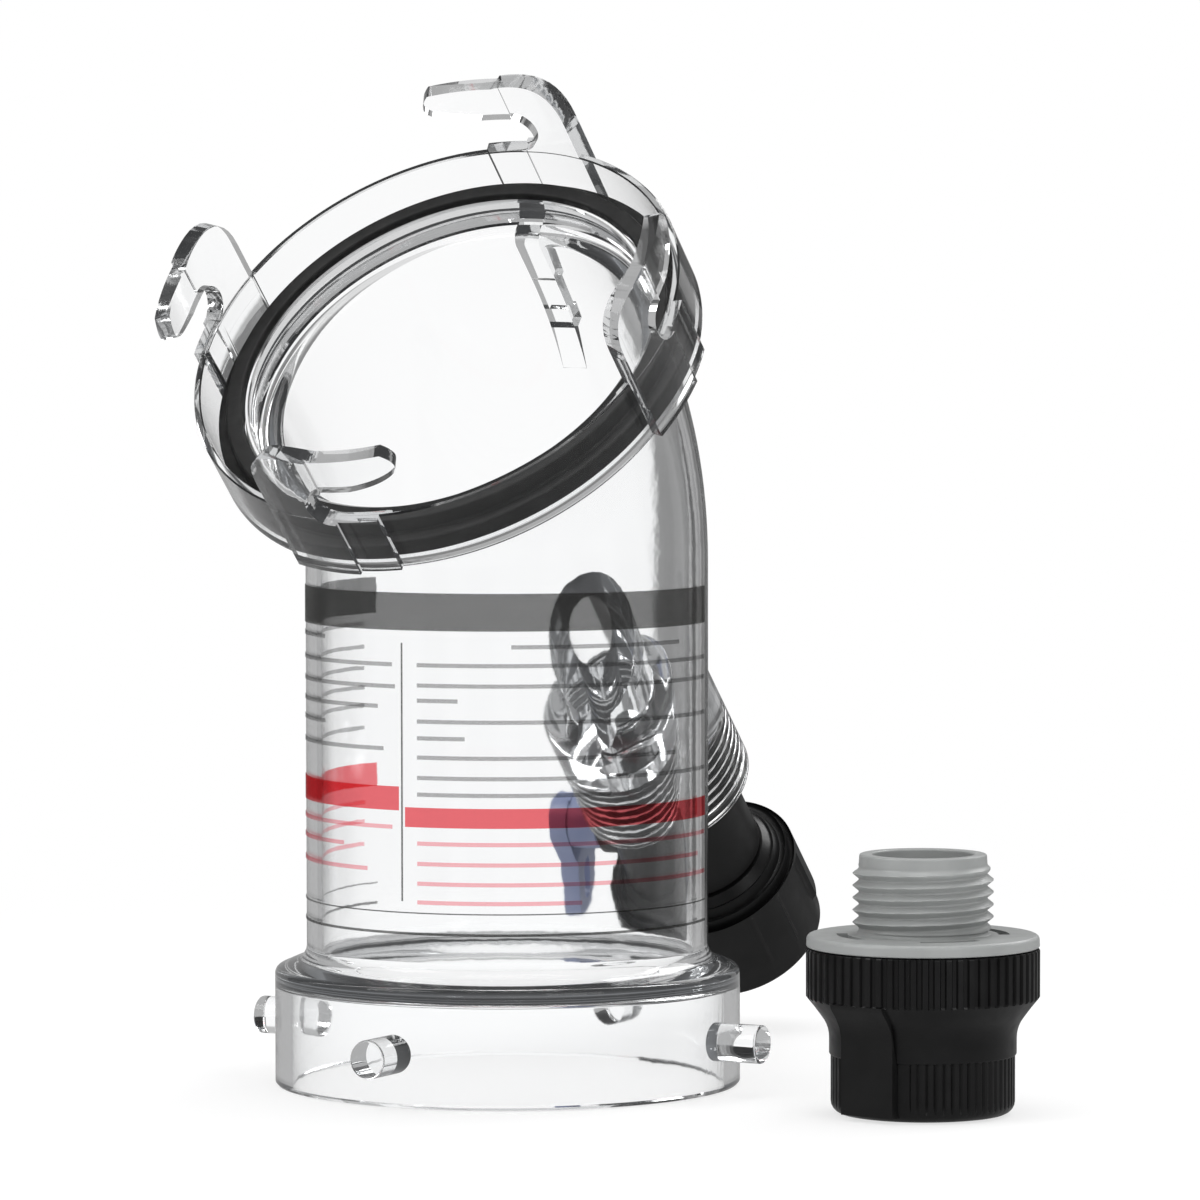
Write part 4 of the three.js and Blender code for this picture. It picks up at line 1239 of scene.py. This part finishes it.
def world():
    """White all round, with grey flags beside it and a grey ceiling for the clear plastic's edges."""
    scene_world = bpy.data.worlds.new("studio")
    bpy.context.scene.world = scene_world
    scene_world.use_nodes = True
    tree = scene_world.node_tree
    background = tree.nodes["Background"]
    split = tree.nodes.new("ShaderNodeSeparateXYZ")
    tree.links.new(tree.nodes.new("ShaderNodeTexCoord").outputs["Generated"], split.inputs[0])
    x, y, z = split.outputs
    turn = node_math(tree, "MULTIPLY", node_math(tree, "ARCTAN2", y, x), 180 / math.pi)
    from_middle = node_math(tree, "ADD", turn, 360 + FLAG_MIDDLE)
    quarter_turn = node_math(tree, "FLOORED_MODULO", from_middle, FLAG_STEP)
    aside = node_math(tree, "ABSOLUTE", node_math(tree, "SUBTRACT", quarter_turn, FLAG_MIDDLE))
    flags = node_math(
        tree,
        "MULTIPLY",
        node_range(tree, aside, *FLAG_EDGES[0], 0, 1 - DEEP_SHADE),
        node_range(tree, aside, *FLAG_EDGES[1], 1, (1 - FLAG_SHADE) / (1 - DEEP_SHADE)),
    )
    flags = node_math(tree, "MULTIPLY", flags, node_range(tree, aside, *FLAG_EDGES[2], 1, 0))
    flags = node_math(tree, "MULTIPLY", flags, node_range(tree, z, *FLAG_FOOT, LOW_FLAGS, 1))
    ceiling = node_math(
        tree,
        "MULTIPLY",
        node_range(tree, z, *CEILING_EDGES[0]),
        node_range(tree, z, *CEILING_EDGES[1], 1, 0),
    )
    shade = node_math(tree, "MAXIMUM", flags, node_math(tree, "MULTIPLY", ceiling, 1 - CEILING_SHADE))
    level = node_math(tree, "SUBTRACT", 1, shade)
    path = tree.nodes.new("ShaderNodeLightPath")
    seen = path.outputs["Is Camera Ray"]
    straight = path_level(tree, path)
    passed = path.outputs["Is Transmission Ray"]
    mirrored = path.outputs["Is Glossy Ray"]
    through = node_math(tree, "MULTIPLY", passed, straight)
    gloss = node_math(tree, "MULTIPLY", mirrored, GLOSS_LEVEL)
    plain = node_math(tree, "MAXIMUM", seen, node_math(tree, "MAXIMUM", passed, mirrored))
    rest = node_math(tree, "MULTIPLY", node_math(tree, "SUBTRACT", 1, plain), AMBIENT)
    around = node_math(tree, "MULTIPLY", node_math(tree, "MAXIMUM", through, gloss), level)
    strength = node_math(tree, "MAXIMUM", seen, around)
    background.inputs["Color"].default_value = (1, 1, 1, 1)
    tree.links.new(node_math(tree, "MAXIMUM", strength, rest), background.inputs["Strength"])


def area_light(name, place, target, size, power):
    light = bpy.data.lights.new(name, "AREA")
    light.shape = "RECTANGLE"
    light.size, light.size_y = size
    light.energy = power
    lamp = bpy.data.objects.new(name, light)
    lamp.location = place
    lamp.rotation_euler = (Vector(target) - Vector(place)).to_track_quat("-Z", "Y").to_euler()
    bpy.context.scene.collection.objects.link(lamp)


FLOOR_HALF = 3
FLOOR_DROP = 0.0002
FLOOR_NEAR = 0.68
FLOOR_THROUGH = 0.85
FLOOR_WHITE = (0.12, 0.4)  # metres from the origin
FLOOR_FADE = (0.2, 0.45)


def floor():
    bm = bmesh.new()
    bmesh.ops.create_grid(bm, x_segments=1, y_segments=1, size=FLOOR_HALF)
    plane = make("floor", bm, Matrix.Translation((0, 0, -FLOOR_DROP)))
    look = Shader("floor", (0.92, 0.92, 0.92), 0.6, 0.04, 40, 0.02)
    look.set(Specular_IOR_Level=0.1)
    tree = look.tree
    path = tree.nodes.new("ShaderNodeLightPath")
    white = tree.nodes.new("ShaderNodeEmission")
    clear = tree.nodes.new("ShaderNodeBsdfTransparent")
    away = tree.nodes.new("ShaderNodeVectorMath")
    away.operation = "LENGTH"
    tree.links.new(look.place, away.inputs[0])
    distance = away.outputs["Value"]
    mirrored = node_math(tree, "LESS_THAN", 0.5, path.outputs["Glossy Depth"])
    tree.links.new(path_level(tree, path), white.inputs["Strength"])
    near = node_range(tree, distance, *FLOOR_WHITE, FLOOR_NEAR, 1)
    seen = node_math(tree, "MULTIPLY", path.outputs["Is Camera Ray"], near)
    through = node_math(tree, "MULTIPLY", path.outputs["Is Transmission Ray"], FLOOR_THROUGH)
    plain = node_math(tree, "MAXIMUM", seen, through)
    lit = mix_shaders(tree, node_math(tree, "MAXIMUM", plain, mirrored), look.shader, white)
    faded = mix_shaders(tree, node_range(tree, distance, *FLOOR_FADE), lit, clear)
    tree.links.new(faded.outputs[0], tree.nodes["Material Output"].inputs["Surface"])
    plane.data.materials.append(look.material)


CAMERA_AZIMUTH = math.radians(27.72)
CAMERA_HEIGHT = math.radians(3.076)
CAMERA_ROLL = math.radians(-0.071)
CAMERA_DISTANCE = 1306.9
CAMERA_LENS = 199.65
AIM_SIDE = 18.286
AIM_HEIGHT = 94.894
SENSOR_WIDTH = 36
FARTHEST = 20


def camera():
    away = Vector((
        math.sin(CAMERA_AZIMUTH) * math.cos(CAMERA_HEIGHT),
        -math.cos(CAMERA_AZIMUTH) * math.cos(CAMERA_HEIGHT),
        math.sin(CAMERA_HEIGHT),
    ))
    right = Vector((math.cos(CAMERA_AZIMUTH), math.sin(CAMERA_AZIMUTH), 0))
    up = away.cross(right)
    place = Vector((0, 0, AIM_HEIGHT)) + right * AIM_SIDE + away * CAMERA_DISTANCE
    turned_right = right * math.cos(CAMERA_ROLL) + up * math.sin(CAMERA_ROLL)
    turned_up = up * math.cos(CAMERA_ROLL) - right * math.sin(CAMERA_ROLL)
    turn = Matrix((turned_right, turned_up, away)).transposed()
    lens = bpy.data.cameras.new("camera")
    lens.lens = CAMERA_LENS
    lens.sensor_width = SENSOR_WIDTH
    lens.clip_end = FARTHEST
    view = bpy.data.objects.new("camera", lens)
    view.matrix_world = Matrix.Translation(LEG_FRAME @ place) @ turn.to_4x4()
    bpy.context.scene.collection.objects.link(view)
    bpy.context.scene.camera = view


world()
floor()
camera()
area_light("key", (-0.9, -1.1, 1.3), (0, 0, 0.1), (0.9, 0.9), 12)
area_light("fill", (1.3, -0.7, 0.7), (0, 0, 0.08), (0.8, 0.8), 5)
area_light("back", (0.3, 1.2, 1.0), (0, 0, 0.1), (1.0, 0.6), 8)
area_light("top", (0.05, -0.1, 1.6), (0, 0, 0), (0.9, 0.9), 9)
bpy.context.scene.view_settings.view_transform = "Standard"
